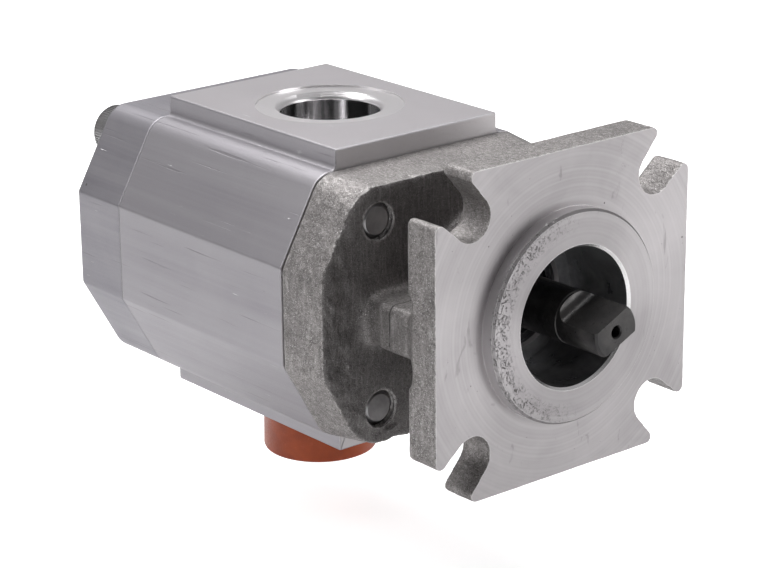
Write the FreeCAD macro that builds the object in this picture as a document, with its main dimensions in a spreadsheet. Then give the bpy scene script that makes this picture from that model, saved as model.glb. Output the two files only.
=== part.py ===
"""Hydraulic gear pump with a square mounting flange.

Millimetres.  +X runs along the drive shaft, out of the pump; +Z is up.  The origin is
where the shaft axis crosses the mounting face of the flange, so the pump lies at -X.
"""
import FreeCAD, Part
import math
import os
import re
import Sketcher
from FreeCAD import Placement, Rotation, Vector

DIMENSIONS = [
    # mounting flange and its pilot
    ("flange_side", 127.0), ("flange_thick", 15.5), ("pilot_dia", 82.55), ("pilot_height", 6.0),
    ("pilot_chamfer", 1.0),
    ("slot_pitch", 92.0), ("slot_radius", 8.8), ("slot_mouth", 11.5),
    ("slot_tip_round", 2.5),
    # front cover behind the flange
    ("plate_front", -43.4), ("body_front", -65.4), ("neck_radius", 34.5),
    ("rib_height", 18.5), ("rib_left", 61.0), ("rib_right", 44.0), ("casting_fillet", 4.0),
    ("rib_edge_round", 3.0), ("flange_fillet", 2.2),
    ("plate_draft", 1.6), ("plate_front_round", 18.0),
    ("coupling_bore", 54.0), ("coupling_depth", 26.0), ("bore_chamfer", 1.8),
    ("seal_bore", 40.0), ("seal_depth", 14.0), ("shaft_hole", 24.0),
    # outline shared by front plate, body and rear cover
    ("body_offset", -15.875), ("half_width", 66.5), ("side_half", 19.3), ("half_height", 52.0),
    ("top_half", 48.0), ("pad_half", 40.0), ("pad_top", 60.0), ("pad_root_round", 2.0),
    ("pad_edge_round", 0.8), ("outline_round", 2.5), ("crown_round", 10.0),
    ("body_length", 105.25), ("cover_length", 30.4), ("cover_round", 3.0),
    # ports
    ("top_port_x", -118.5), ("bottom_port_x", -128.5), ("spotface_dia", 58.7),
    ("spotface_depth", 0.8), ("port_dia", 39.1), ("port_chamfer_dia", 43.9),
    ("port_depth", 24.0), ("throat_dia", 24.0), ("throat_end", 9.0),
    # gears
    ("centre_distance", 31.75), ("teeth", 10), ("gear_module", 3.0), ("tip_radius", 18.7),
    ("root_radius", 12.3), ("backlash", 0.16), ("face_width", 50.0), ("face_gap", 0.05),
    ("chamber_radius", 18.85),
    # shafts, bushes and bearing blocks
    ("journal_dia", 22.0), ("bush_bore", 22.08), ("bush_dia", 25.0), ("block_radius", 18.8),
    ("block_length", 27.4), ("shaft_dia", 20.6), ("shaft_tip", 27.2), ("tang_across", 11.0),
    ("tang_length", 21.0), ("tang_run_out", 5.0), ("tang_angle", 25.0), ("centre_hole_dia", 4.4),
    # seals
    ("pressure_seal_inner", 14.2), ("pressure_seal_outer", 16.8), ("pressure_seal_thick", 2.4),
    ("backup_thick", 1.0), ("body_seal_inner", 21.5), ("body_seal_width", 2.6),
    ("body_seal_depth", 2.0), ("seal_case_length", 8.0), ("seal_wall", 1.2), ("seal_gap", 1.0),
    ("lip_thick", 1.7), ("lip_clear", 0.5), ("lip_touch", 0.05), ("lip_length", 4.0),
    ("lip_edge", 0.8), ("spring_wire_radius", 0.7), ("spring_x", 2.6),
    ("circlip_thick", 1.75), ("circlip_set", 3.0), ("circlip_grip", 1.1), ("circlip_wide", 3.5),
    ("circlip_mouth", 7.0), ("lug_radius", 1.9), ("lug_eye_radius", 0.9), ("lug_half_pitch", 5.2),
    ("lug_inset", 2.9),
    # screws and dowels
    ("bolt_dia", 14.0), ("bolt_hole", 15.0), ("thread_hole", 14.1),
    ("bolt_half_y", 37.5), ("bolt_half_z", 36.7), ("bolt_tip", -44.6), ("tip_chamfer", 1.6),
    ("bolt_head_dia", 21.0), ("bolt_head_length", 14.0), ("head_chamfer", 0.8),
    ("bolt_socket", 12.0), ("socket_depth", 7.0),
    ("dowel_dia", 8.0), ("dowel_length", 16.0), ("dowel_half_y", 52.0),
    # transport plug
    ("plug_head_radius", 23.2), ("plug_head_height", 24.5), ("plug_gap", 1.5),
    ("plug_stem_dia", 37.8), ("plug_stem_length", 12.0),
]

doc = FreeCAD.newDocument("GearPump")
sheet = doc.addObject("Spreadsheet::Sheet", "Dims")
for row, (alias, value) in enumerate(DIMENSIONS, start=1):
    sheet.set(f"A{row}", alias)
    sheet.set(f"B{row}", str(value))
    sheet.setAlias(f"B{row}", alias)
doc.recompute()

ALIASES = {alias for alias, _ in DIMENSIONS}
ALONG_X = Rotation(Vector(0, 1, 0), 90)
UPWARD = Rotation()
nodes = []


# ---------------------------------------------------------------- helpers

def rule(text):
    """Turn 'pilot_dia / 2' into an expression that reads the sheet."""
    return re.sub(r"[a-z_]+", lambda m: f"Dims.{m[0]}" if m[0] in ALIASES else m[0], str(text))


def size(text):
    """The present value of a rule, in millimetres."""
    value = sheet.evalExpression(rule(text))
    return float(getattr(value, "Value", value))


def bind(obj, **rules):
    """Bind properties of an object to rules over the sheet."""
    for name, text in rules.items():
        obj.setExpression(name, rule(text))


def place(obj, x="0", y="0", z="0", turn=UPWARD):
    """Give an object its turn, and bind its position to the sheet."""
    obj.Placement = Placement(Vector(), turn)
    for axis, text in (("x", x), ("y", y), ("z", z)):
        obj.setExpression(f"Placement.Base.{axis}", rule(text))
    return obj


def cylinder(name, radius, height, x="0", y="0", z="0", turn=ALONG_X):
    obj = doc.addObject("Part::Cylinder", name)
    bind(obj, Radius=radius, Height=height)
    return place(obj, x, y, z, turn)


def cone(name, radius1, radius2, height, x="0", y="0", z="0", turn=ALONG_X):
    obj = doc.addObject("Part::Cone", name)
    bind(obj, Radius1=radius1, Radius2=radius2, Height=height)
    return place(obj, x, y, z, turn)


def box(name, length, width, height, x="0", y="0", z="0"):
    obj = doc.addObject("Part::Box", name)
    bind(obj, Length=length, Width=width, Height=height)
    return place(obj, x, y, z)


def fuse(name, parts):
    obj = doc.addObject("Part::MultiFuse", name)
    obj.Shapes = parts
    return obj


def cut(name, base, tool):
    obj = doc.addObject("Part::Cut", name)
    obj.Base = base
    obj.Tool = tool
    return obj


def common(name, parts):
    obj = doc.addObject("Part::MultiCommon", name)
    obj.Shapes = parts
    return obj


def group(name, parts):
    """Separate alike solids kept in one node."""
    obj = doc.addObject("Part::Compound", name)
    obj.Links = parts
    return obj


def node(name, obj):
    """Name an object as a sub-part of the pump."""
    obj.Label = name
    nodes.append(obj)
    return obj


# ---------------------------------------------------------------- sketch helpers

def new_body(name):
    return doc.addObject("PartDesign::Body", name)


def sketch_on(body, name, role="YZ_Plane", offset="0"):
    """Sketch on one of the body's own origin planes, moved along its normal."""
    plane = next(f for f in body.Origin.OriginFeatures if f.Role == role)
    sketch = body.newObject("Sketcher::SketchObject", name)
    sketch.AttachmentSupport = (plane, [""])
    sketch.MapMode = "FlatFace"
    sketch.setExpression("AttachmentOffset.Base.z", rule(offset))
    return sketch


def pin_point(sketch, edge, end, x, y):
    """Hold the end of an edge at rules for its two coordinates."""
    for kind, text in (("DistanceX", x), ("DistanceY", y)):
        index = sketch.addConstraint(Sketcher.Constraint(kind, -1, 1, edge, end, size(text)))
        sketch.setExpression(f"Constraints[{index}]", rule(text))


def add_polygon(sketch, points):
    """Closed polygon whose corners are pairs of rules."""
    corners = [Vector(size(x), size(y), 0) for x, y in points]
    first = sketch.GeometryCount
    for start, end in zip(corners, corners[1:] + corners[:1]):
        sketch.addGeometry(Part.LineSegment(start, end), False)
    count = len(points)
    for step, (x, y) in enumerate(points):
        following = first + (step - 1) % count
        sketch.addConstraint(Sketcher.Constraint("Coincident", following, 2, first + step, 1))
        pin_point(sketch, first + step, 1, x, y)


def add_rounded_polygon(sketch, points, radii):
    """Closed polygon whose corners are rounded, each by its own rule."""
    corners = [Vector(size(x), size(y), 0) for x, y in points]
    neighbours = zip(corners[-1:] + corners[:-1], corners, corners[1:] + corners[:1], radii)
    lines, arcs = [], []
    for before, corner, after, radius in neighbours:
        arrive, leave = (corner - before).normalize(), (after - corner).normalize()
        half_turn = arrive.getAngle(leave) / 2
        reach = size(radius) * math.tan(half_turn)
        start, end = corner - arrive * reach, corner + leave * reach
        inward = (leave - arrive).normalize()
        sink = size(radius) * (1 / math.cos(half_turn) - 1)
        arcs.append((start, corner + inward * sink, end))
    for this, following in zip(arcs, arcs[1:] + arcs[:1]):
        lines.append((this[2], following[0]))
    for arc, line in zip(arcs, lines):
        sketch.addGeometry(Part.Arc(*arc), False)
        sketch.addGeometry(Part.LineSegment(*line), False)


def add_circle(sketch, radius, x="0", y="0"):
    """Circle with its centre and radius given as rules."""
    circle = Part.Circle(Vector(size(x), size(y), 0), Vector(0, 0, 1), size(radius))
    edge = sketch.addGeometry(circle, False)
    index = sketch.addConstraint(Sketcher.Constraint("Radius", edge, size(radius)))
    sketch.setExpression(f"Constraints[{index}]", rule(radius))
    pin_point(sketch, edge, 3, x, y)


def pad(body, name, sketch, length, backwards=False):
    """Add material along the sketch's normal, or against it."""
    feature = body.newObject("PartDesign::Pad", name)
    feature.Profile = sketch
    feature.Reversed = backwards
    feature.setExpression("Length", rule(length))
    doc.recompute()
    return feature


def pocket(body, name, sketch, length, forwards=False):
    """Take material away against the sketch's normal, or along it."""
    before = body.Shape.Volume
    feature = body.newObject("PartDesign::Pocket", name)
    feature.Profile = sketch
    feature.Reversed = forwards
    feature.setExpression("Length", rule(length))
    doc.recompute()
    if body.Shape.Volume > before - 0.01:
        raise RuntimeError(f"{name} cuts nothing")
    return feature


def dress(body, kind, name, prop, amount, chosen):
    """Fillet or chamfer the edges of the body's tip that the test chooses."""
    tip = body.Tip
    edges = [f"Edge{n}" for n, e in enumerate(tip.Shape.Edges, start=1) if chosen(e)]
    if not edges:
        raise RuntimeError(f"{name} finds no edge")
    feature = body.newObject(f"PartDesign::{kind}", name)
    feature.Base = (tip, edges)
    feature.setExpression(prop, rule(amount))
    doc.recompute()
    return feature


def fillet(body, name, radius, chosen):
    return dress(body, "Fillet", name, "Radius", radius, chosen)


def chamfer(body, name, width, chosen):
    return dress(body, "Chamfer", name, "Size", width, chosen)


def near(value, text, within=0.02):
    """True when a value equals a rule."""
    return abs(value - size(text)) < within


def runs_along_x(edge):
    ends = edge.BoundBox
    return ends.XLength > 1 and ends.YLength < 0.01 and ends.ZLength < 0.01


def in_plane_x(edge, text):
    return near(edge.BoundBox.XMin, text) and near(edge.BoundBox.XMax, text)


def is_circle(edge, radius):
    return isinstance(edge.Curve, Part.Circle) and near(edge.Curve.Radius, radius)


# ---------------------------------------------------------------- shared outlines

def octagon(inset="0"):
    """Corners of the eight-sided outline of the covers."""
    wide = f"half_width - ({inset})"
    tall = f"half_height - ({inset})"
    side = f"side_half - ({inset}) * 0.4"
    top = f"top_half - ({inset}) * 0.4"
    right = [(wide, f"-({side})"), (wide, side), (top, tall), (f"-({top})", tall)]
    left = [(f"-({wide})", side), (f"-({wide})", f"-({side})"),
            (f"-({top})", f"-({tall})"), (top, f"-({tall})")]
    return [(f"body_offset + ({y})", z) for y, z in right + left]


def body_outline():
    """Octagon with the raised port pads on top and below."""
    quarter = [("half_width", "side_half"), ("top_half", "half_height"),
               ("pad_half", "half_height"), ("pad_half", "pad_top")]
    points = [(y, z) for y, z in quarter]
    points += [(f"-{y}", z) for y, z in reversed(quarter)]
    points += [(f"-{y}", f"-{z}") for y, z in quarter]
    points += [(y, f"-{z}") for y, z in reversed(quarter)]
    return [(f"body_offset + {y}", z) for y, z in points]


# Rounding of the octagon's corners, in the order of its points.
OCTAGON_ROUNDS = ["outline_round"] * 2 + ["crown_round"] * 2
OCTAGON_ROUNDS += OCTAGON_ROUNDS
BOLT_PLACES = [(f"body_offset + {a}bolt_half_y", f"{b}bolt_half_z")
               for a in ("-", "") for b in ("-", "")]
DOWEL_PLACES = [f"body_offset + {a}dowel_half_y" for a in ("-", "")]
GEAR_PLACES = {"drive": "0", "driven": "-centre_distance"}
BODY_REAR = "body_front - body_length"
COVER_REAR = "body_front - body_length - cover_length"


def bolt_circles(sketch, radius):
    for y, z in BOLT_PLACES:
        add_circle(sketch, radius, y, z)


def dowel_circles(sketch):
    for y in DOWEL_PLACES:
        add_circle(sketch, "dowel_dia / 2", y)


# ---------------------------------------------------------------- front cover

def add_slot(sketch, side_y, side_z):
    """One open corner slot: round inner end, sides that spread towards the corner."""
    centre, end = size("slot_pitch / 2"), size("flange_side / 2 + 6")
    near_off, far_off = (size(f"{width} * sqrt(0.5)") for width in ("slot_radius", "slot_mouth"))

    def point(along, across):
        return Vector(side_y * (along + across), side_z * (along - across), 0)

    inmost = point(centre - size("slot_radius") * math.sqrt(0.5), 0)
    first, last = point(centre, near_off), point(centre, -near_off)
    mouth = point(end, far_off), point(end, -far_off)
    sketch.addGeometry(Part.Arc(first, inmost, last), False)
    for start, stop in ((last, mouth[1]), (mouth[1], mouth[0]), (mouth[0], first)):
        sketch.addGeometry(Part.LineSegment(start, stop), False)


def make_front_cover():
    """Grey iron casting: square flange with pilot, neck, two ribs and the rear plate."""
    body = new_body("FrontCover")
    half = "flange_side / 2"

    flange = sketch_on(body, "FlangeSketch")
    add_polygon(flange, [(half, f"-{half}"), (half, half), (f"-{half}", half),
                         (f"-{half}", f"-{half}")])
    pad(body, "Flange", flange, "flange_thick", backwards=True)

    pilot = sketch_on(body, "PilotSketch")
    add_circle(pilot, "pilot_dia / 2")
    pad(body, "Pilot", pilot, "pilot_height")

    neck = sketch_on(body, "NeckSketch")
    add_circle(neck, "neck_radius")
    pad(body, "Neck", neck, "-body_front - 2", backwards=True)

    ribs = sketch_on(body, "RibSketch", offset="-1")
    add_polygon(ribs, [("rib_right", "-rib_height / 2"), ("rib_right", "rib_height / 2"),
                       ("-rib_left", "rib_height / 2"), ("-rib_left", "-rib_height / 2")])
    pad(body, "Ribs", ribs, "-body_front - 3", backwards=True)

    rear = sketch_on(body, "PlateRearSketch", offset="body_front")
    add_rounded_polygon(rear, octagon(), OCTAGON_ROUNDS)
    front = sketch_on(body, "PlateFrontSketch", offset="plate_front")
    add_rounded_polygon(front, octagon("plate_draft"), ["plate_front_round"] * 8)
    plate = body.newObject("PartDesign::AdditiveLoft", "Plate")
    plate.Profile = rear
    plate.Sections = [front]
    plate.Ruled = True
    doc.recompute()

    round_gap(body)

    bore = sketch_on(body, "CouplingBoreSketch", offset="pilot_height")
    add_circle(bore, "coupling_bore / 2")
    pocket(body, "CouplingBore", bore, "pilot_height + coupling_depth")
    seal = sketch_on(body, "SealBoreSketch", offset="-coupling_depth")
    add_circle(seal, "seal_bore / 2")
    pocket(body, "SealBore", seal, "seal_depth")
    hole = sketch_on(body, "ShaftHoleSketch", offset="-coupling_depth - seal_depth")
    add_circle(hole, "shaft_hole / 2")
    pocket(body, "ShaftHole", hole, "60")

    groove = sketch_on(body, "CirclipGrooveSketch", offset="-coupling_depth - circlip_set")
    add_circle(groove, "seal_bore / 2 + circlip_grip + 0.1")
    pocket(body, "CirclipGroove", groove, "circlip_thick + 0.1")

    threads = sketch_on(body, "ThreadSketch", offset="plate_front")
    bolt_circles(threads, "thread_hole / 2")
    pocket(body, "ThreadHoles", threads, "40")

    dowels = sketch_on(body, "DowelSketch", offset="body_front")
    dowel_circles(dowels)
    pocket(body, "DowelHoles", dowels, "dowel_length / 2 + 0.5", forwards=True)

    slots = sketch_on(body, "SlotSketch")
    for side_y in (-1, 1):
        for side_z in (-1, 1):
            add_slot(slots, side_y, side_z)
    pocket(body, "Slots", slots, "flange_thick + 0.5")

    fillet(body, "SlotTips", "slot_tip_round", is_slot_tip)
    chamfer(body, "BoreChamfer", "bore_chamfer",
            lambda e: is_circle(e, "coupling_bore / 2") and in_plane_x(e, "pilot_height"))
    chamfer(body, "PilotChamfer", "pilot_chamfer",
            lambda e: is_circle(e, "pilot_dia / 2") and in_plane_x(e, "pilot_height"))
    return body


def round_gap(body):
    """Cast fillets along the ribs and where neck and ribs meet the flange."""
    def along_rib(edge, places):
        on_rib = runs_along_x(edge) and near(abs(edge.CenterOfMass.z), "rib_height / 2")
        return on_rib and any(near(edge.CenterOfMass.y, y) for y in places)

    def at_flange(edge):
        inside = edge.BoundBox.YMin > -62 and edge.BoundBox.YMax < 45
        return in_plane_x(edge, "-flange_thick") and inside and abs(edge.CenterOfMass.z) < 40

    meet = "sqrt(neck_radius ^ 2 - (rib_height / 2) ^ 2)"
    fillet(body, "RibRoots", "casting_fillet", lambda e: along_rib(e, (meet, f"-{meet}")))
    fillet(body, "RibEdges", "rib_edge_round", lambda e: along_rib(e, ("rib_right", "-rib_left")))
    fillet(body, "FlangeRoots", "flange_fillet", at_flange)


def is_slot_tip(edge):
    """Long edges where a slot's side leaves the edge of the flange."""
    if not runs_along_x(edge):
        return False
    y, z = abs(edge.CenterOfMass.y), abs(edge.CenterOfMass.z)
    return near(max(y, z), "flange_side / 2") and min(y, z) > 30


# ---------------------------------------------------------------- pump body

def port_tools(name, port_x, side):
    """Cutters for one port; side is 1 for the top and -1 for the bottom."""
    turn = UPWARD if side > 0 else Rotation(Vector(1, 0, 0), 180)

    def stage(label, radius, deep, length):
        start = f"{side} * (pad_top - ({deep}))"
        return cylinder(name + label, radius, length, port_x, "body_offset", start, turn)

    spot = stage("Spot", "spotface_dia / 2", "spotface_depth", "5")
    thread = stage("Thread", "port_dia / 2", "port_depth", "port_depth + 1")
    throat = stage("Throat", "throat_dia / 2", "pad_top - throat_end", "pad_top - throat_end")
    flare = cone(name + "Flare", "port_dia / 2", "port_chamfer_dia / 2", "3", port_x,
                 "body_offset", f"{side} * (pad_top - spotface_depth - 3)", turn)
    point = cone(name + "Point", "throat_dia / 2", "port_dia / 2", "3", port_x,
                 "body_offset", f"{side} * (pad_top - port_depth - 3)", turn)
    return [spot, thread, throat, flare, point]


def racetrack_ring(name, inner, width, thick, x):
    """Flat ring that follows both gear circles at a distance."""
    def solid(label, radius, length, start):
        rounds = [cylinder(name + label + word, radius, length, start, y)
                  for word, y in GEAR_PLACES.items()]
        web = box(name + label + "Web", length, "centre_distance", f"2 * ({radius})", start,
                  "-centre_distance", f"-({radius})")
        return fuse(name + label, rounds + [web])
    outer = solid("Outer", f"{inner} + {width}", thick, x)
    core = solid("Core", inner, f"{thick} + 2", f"{x} - 1")
    return cut(name, outer, core)


def make_pump_body():
    """Extruded aluminium body with the two gear chambers and both ports."""
    body = new_body("BodyExtrusion")
    outline = sketch_on(body, "BodyOutline", offset="body_front")
    add_polygon(outline, body_outline())
    pad(body, "Extrusion", outline, "body_length", backwards=True)
    edge_rounds = {"PadEdges": ("pad_edge_round", "pad_half", "pad_top"),
                   "PadRoots": ("pad_root_round", "pad_half", "half_height"),
                   "Crowns": ("crown_round", "top_half", "half_height"),
                   "Sides": ("outline_round", "half_width", "side_half")}
    for label, (radius, across, up) in edge_rounds.items():
        fillet(body, label, radius, lambda e: runs_along_x(e) and near(
            abs(e.CenterOfMass.y - size("body_offset")), across) and near(
            abs(e.CenterOfMass.z), up))

    for word, y in GEAR_PLACES.items():
        chamber = sketch_on(body, f"Chamber_{word}", offset="body_front")
        add_circle(chamber, "chamber_radius", y)
        pocket(body, f"ChamberCut_{word}", chamber, "body_length")
    bolts = sketch_on(body, "BodyBolts", offset="body_front")
    bolt_circles(bolts, "bolt_hole / 2")
    pocket(body, "BodyBoltHoles", bolts, "body_length")
    for label, offset, forwards in (("Front", "body_front", False), ("Rear", BODY_REAR, True)):
        dowels = sketch_on(body, f"{label}Dowels", offset=offset)
        dowel_circles(dowels)
        pocket(body, f"{label}DowelHoles", dowels, "dowel_length / 2 + 0.5", forwards)

    tools = port_tools("TopPort", "top_port_x", 1) + port_tools("BottomPort", "bottom_port_x", -1)
    tools.append(racetrack_ring("FrontSealGroove", "body_seal_inner", "body_seal_width",
                                "body_seal_depth", "body_front - body_seal_depth"))
    tools.append(racetrack_ring("RearSealGroove", "body_seal_inner", "body_seal_width",
                                "body_seal_depth", BODY_REAR))
    return cut("PumpBody", body, fuse("BodyTools", tools))


# ---------------------------------------------------------------- rear cover

def make_rear_cover():
    """Aluminium end cover of the same outline, rounded at its rear edge."""
    body = new_body("RearCover")
    outline = sketch_on(body, "CoverOutline", offset=BODY_REAR)
    add_rounded_polygon(outline, octagon(), OCTAGON_ROUNDS)
    pad(body, "CoverBlock", outline, "cover_length", backwards=True)
    fillet(body, "CoverRearEdge", "cover_round", lambda e: in_plane_x(e, COVER_REAR))
    bolts = sketch_on(body, "CoverBolts", offset=BODY_REAR)
    bolt_circles(bolts, "bolt_hole / 2")
    pocket(body, "CoverBoltHoles", bolts, "cover_length")
    dowels = sketch_on(body, "CoverDowels", offset=BODY_REAR)
    dowel_circles(dowels)
    pocket(body, "CoverDowelHoles", dowels, "dowel_length / 2 + 0.5")
    wells = sketch_on(body, "CoverShaftWells", offset=BODY_REAR)
    for y in GEAR_PLACES.values():
        add_circle(wells, "journal_dia / 2 + 1", y)
    pocket(body, "CoverWells", wells, "4")
    return body


# ---------------------------------------------------------------- gears and shafts

def involute_point(base, radius, turn):
    """Point at a radius on the involute that leaves its base circle at angle turn."""
    roll = math.sqrt(max((radius / base) ** 2 - 1, 0))
    angle = turn + roll - math.atan(roll)
    return Vector(radius * math.cos(angle), radius * math.sin(angle), 0)


def tooth_space(sketch, first_angle):
    """One gap between teeth: two involute flanks, the root arc and an open mouth."""
    module, teeth = size("gear_module"), size("teeth")
    pressure = math.radians(20)
    pitch = module * teeth / 2
    base = pitch * math.cos(pressure)
    working = math.acos(2 * base / size("centre_distance"))
    involute = [math.tan(a) - a for a in (pressure, working)]
    shift = teeth * (involute[1] - involute[0]) / (2 * math.tan(pressure))
    thick = module * (math.pi / 2 + 2 * shift * math.tan(pressure)) - size("backlash")
    half_tooth = thick / (2 * pitch) + involute[0]
    half_gap = math.pi / teeth - half_tooth
    root, mouth = size("root_radius"), size("tip_radius") + 1.2
    radii = (base + 0.001, (base + mouth) / 2, mouth)

    upper = [involute_point(base, r, half_gap) for r in radii]
    lower = [Vector(p.x, -p.y, 0) for p in upper]
    low_angle = half_gap - 0.035
    root_up = Vector(root * math.cos(low_angle), root * math.sin(low_angle), 0)
    root_down = Vector(root_up.x, -root_up.y, 0)
    curves = [Part.LineSegment(root_up, upper[0]), Part.Arc(*upper),
              Part.Arc(upper[2], Vector(mouth + 0.3, 0, 0), lower[2]), Part.Arc(*reversed(lower)),
              Part.LineSegment(lower[0], root_down),
              Part.Arc(root_down, Vector(root, 0, 0), root_up)]
    spin = Placement(Vector(), Rotation(Vector(0, 0, 1), math.degrees(first_angle)))
    for curve in curves:
        curve.transform(spin.toMatrix())
        sketch.addGeometry(curve, False)


def make_gear_shaft(name, profile, first_angle):
    """Gear and shaft in one piece: turned blank, then its tooth spaces cut round it."""
    body = new_body(name)
    blank = sketch_on(body, f"{name}Blank", role="XZ_Plane")
    add_polygon(blank, profile)
    turned = body.newObject("PartDesign::Revolution", f"{name}Turned")
    turned.Profile = blank
    turned.ReferenceAxis = (blank, ["H_Axis"])
    turned.Angle = 360
    doc.recompute()

    gap = sketch_on(body, f"{name}Gap", offset="body_front - block_length - 0.1")
    tooth_space(gap, first_angle)
    space = pocket(body, f"{name}Space", gap, "face_width + 0.4")
    ring = body.newObject("PartDesign::PolarPattern", f"{name}Teeth")
    ring.Originals = [space]
    ring.Axis = (gap, ["N_Axis"])
    ring.Angle = 360
    ring.setExpression("Occurrences", rule("teeth"))
    body.Tip = ring
    doc.recompute()
    return body


GEAR_FRONT = "body_front - 0.2 - block_length - face_gap"
GEAR_REAR = "body_front - body_length + 0.2 + block_length + face_gap"


def drive_profile():
    """Half section of the drive shaft, from its rear end to the tang."""
    return [("body_front - body_length - 1.5", "0"),
            ("body_front - body_length - 1.5", "journal_dia / 2 - 0.8"),
            ("body_front - body_length - 0.7", "journal_dia / 2"),
            (GEAR_REAR, "journal_dia / 2"), (GEAR_REAR, "tip_radius"),
            (GEAR_FRONT, "tip_radius"), (GEAR_FRONT, "journal_dia / 2"),
            ("body_front - 1", "journal_dia / 2"), ("body_front - 0.3", "shaft_dia / 2"),
            ("shaft_tip - tang_length - 1", "shaft_dia / 2"),
            ("shaft_tip - tang_length - 0.7", "shaft_dia / 2 - 0.35"),
            ("shaft_tip - tang_length", "shaft_dia / 2 - 0.35"),
            ("shaft_tip - tang_length + 0.3", "shaft_dia / 2"),
            ("shaft_tip - 0.8", "shaft_dia / 2"), ("shaft_tip", "shaft_dia / 2 - 0.8"),
            ("shaft_tip", "0")]


def make_drive_gear_shaft():
    """Drive gear and its long shaft, ending in a two-flat tang with a centre hole."""
    body = make_gear_shaft("DriveGear", drive_profile(), math.pi / 10)
    cutters = []
    start = "shaft_tip - tang_length + tang_run_out"
    for word, side in (("Upper", 1), ("Lower", -1)):
        floor = "tang_across / 2" if side > 0 else "-tang_across / 2 - 20"
        cutters.append(box(f"Flat{word}", "tang_length + 5", "40", "20", start, "-20", floor))
        cutters.append(cylinder(f"RunOut{word}", "tang_run_out", "40", start, "20",
                                f"{side} * (tang_across / 2 + tang_run_out)",
                                Rotation(Vector(1, 0, 0), 90)))
    flats = fuse("TangCutters", cutters)
    flats.Placement = Placement(Vector(), Rotation(Vector(1, 0, 0), size("tang_angle")))
    flats.setExpression("Placement.Rotation.Angle", rule("tang_angle"))
    drill = cylinder("CentreHole", "centre_hole_dia / 2", "12", "shaft_tip - 10")
    lead_in = cone("CentreHoleCone", "centre_hole_dia / 2 - 0.6", "centre_hole_dia / 2 + 0.6",
                   "1.2", "shaft_tip - 1.1")
    return cut("DriveGearShaft", body, fuse("DriveCutters", [flats, drill, lead_in]))


def make_driven_gear_shaft():
    """Second gear on its own short shaft, in mesh below the drive gear's side."""
    journal_end = "body_front - 0.6"
    profile = [("body_front - body_length - 1.5", "0"),
               ("body_front - body_length - 1.5", "journal_dia / 2 - 0.8"),
               ("body_front - body_length - 0.7", "journal_dia / 2"),
               (GEAR_REAR, "journal_dia / 2"), (GEAR_REAR, "tip_radius"),
               (GEAR_FRONT, "tip_radius"), (GEAR_FRONT, "journal_dia / 2"),
               (f"{journal_end} - 0.8", "journal_dia / 2"),
               (journal_end, "journal_dia / 2 - 0.8"), (journal_end, "0")]
    body = make_gear_shaft("DrivenGear", profile, 0)
    body.setExpression("Placement.Base.y", rule("-centre_distance"))
    return body


# ---------------------------------------------------------------- bearing blocks

def figure_eight(name, radius, thick, x):
    """Two overlapping discs, one round each shaft."""
    return fuse(name, [cylinder(name + word, radius, thick, x, y)
                       for word, y in GEAR_PLACES.items()])


def three_shape(name, thick, x):
    """Band round the high-pressure half of both bores, joined between the shafts."""
    outer = figure_eight(name + "Outer", "pressure_seal_outer", thick, x)
    inner = figure_eight(name + "Inner", "pressure_seal_inner", f"{thick} + 2", f"{x} - 1")
    band = cut(name + "Band", outer, inner)
    half = box(name + "Half", f"{thick} + 2", "100", "30", f"{x} - 1", "-75", "-30")
    return common(name, [band, half])


def make_bearing_block(name, x, seal_x, relief_x):
    """Pressure plate: bored for two bushes, grooved behind, relieved at the mesh."""
    blank = figure_eight(f"{name}Blank", "block_radius", "block_length", x)
    tools = [cylinder(f"{name}Bore{word}", "bush_dia / 2", "block_length + 2", f"{x} - 1", y)
             for word, y in GEAR_PLACES.items()]
    tools.append(three_shape(f"{name}Groove", "pressure_seal_thick + backup_thick", seal_x))
    for word, z in (("Upper", "2.6"), ("Lower", "-7.6")):
        tools.append(box(f"{name}Relief{word}", "1.5", "4", "5", relief_x,
                         "-centre_distance / 2 - 2", z))
    return cut(name, blank, fuse(f"{name}Tools", tools))


def make_bush(name, x, y):
    """Plain bearing bush pressed into its block."""
    shell = cylinder(f"{name}Shell", "bush_dia / 2", "block_length - 0.8", f"{x} + 0.4", y)
    bore = cylinder(f"{name}Bore", "bush_bore / 2", "block_length + 2", f"{x} - 1", y)
    return cut(name, shell, bore)


def make_bearings():
    front_x, rear_x = "body_front - 0.2 - block_length", f"{BODY_REAR} + 0.2"
    groove = "pressure_seal_thick + backup_thick"
    seats = {"front": (front_x, f"body_front - 0.2 - ({groove})", front_x),
             "rear": (rear_x, rear_x, f"{rear_x} + block_length - 1.5")}
    for end, (x, seal_x, relief_x) in seats.items():
        node(f"{end}_bearing_block", make_bearing_block(f"{end}Block", x, seal_x, relief_x))
        first, second = ("pressure_seal_thick", "backup_thick")
        if end == "rear":
            first, second = second, first
        lower = three_shape(f"{end}Lower", first, seal_x)
        upper = three_shape(f"{end}Upper", second, f"{seal_x} + {first}")
        seal, ring = (lower, upper) if end == "front" else (upper, lower)
        node(f"{end}_pressure_seal", seal)
        node(f"{end}_backup_ring", ring)
        for word, y in GEAR_PLACES.items():
            node(f"{word}_{end}_bush", make_bush(f"{word}{end}Bush", x, y))


# ---------------------------------------------------------------- seals

def tube(name, outer, inner, length, x, y="0"):
    """Plain ring along X."""
    shell = cylinder(f"{name}Shell", outer, length, x, y)
    hole = cylinder(f"{name}Hole", inner, f"{length} + 2", f"{x} - 1", y)
    return cut(name, shell, hole)


def make_body_seals():
    """Cord seals in the grooves at both ends of the body, level with its faces."""
    front = racetrack_ring("FrontBodySeal", "body_seal_inner", "body_seal_width",
                           "body_seal_depth", "body_front - body_seal_depth")
    rear = racetrack_ring("RearBodySeal", "body_seal_inner", "body_seal_width",
                          "body_seal_depth", BODY_REAR)
    node("front_body_seal", front)
    node("rear_body_seal", rear)


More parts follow.
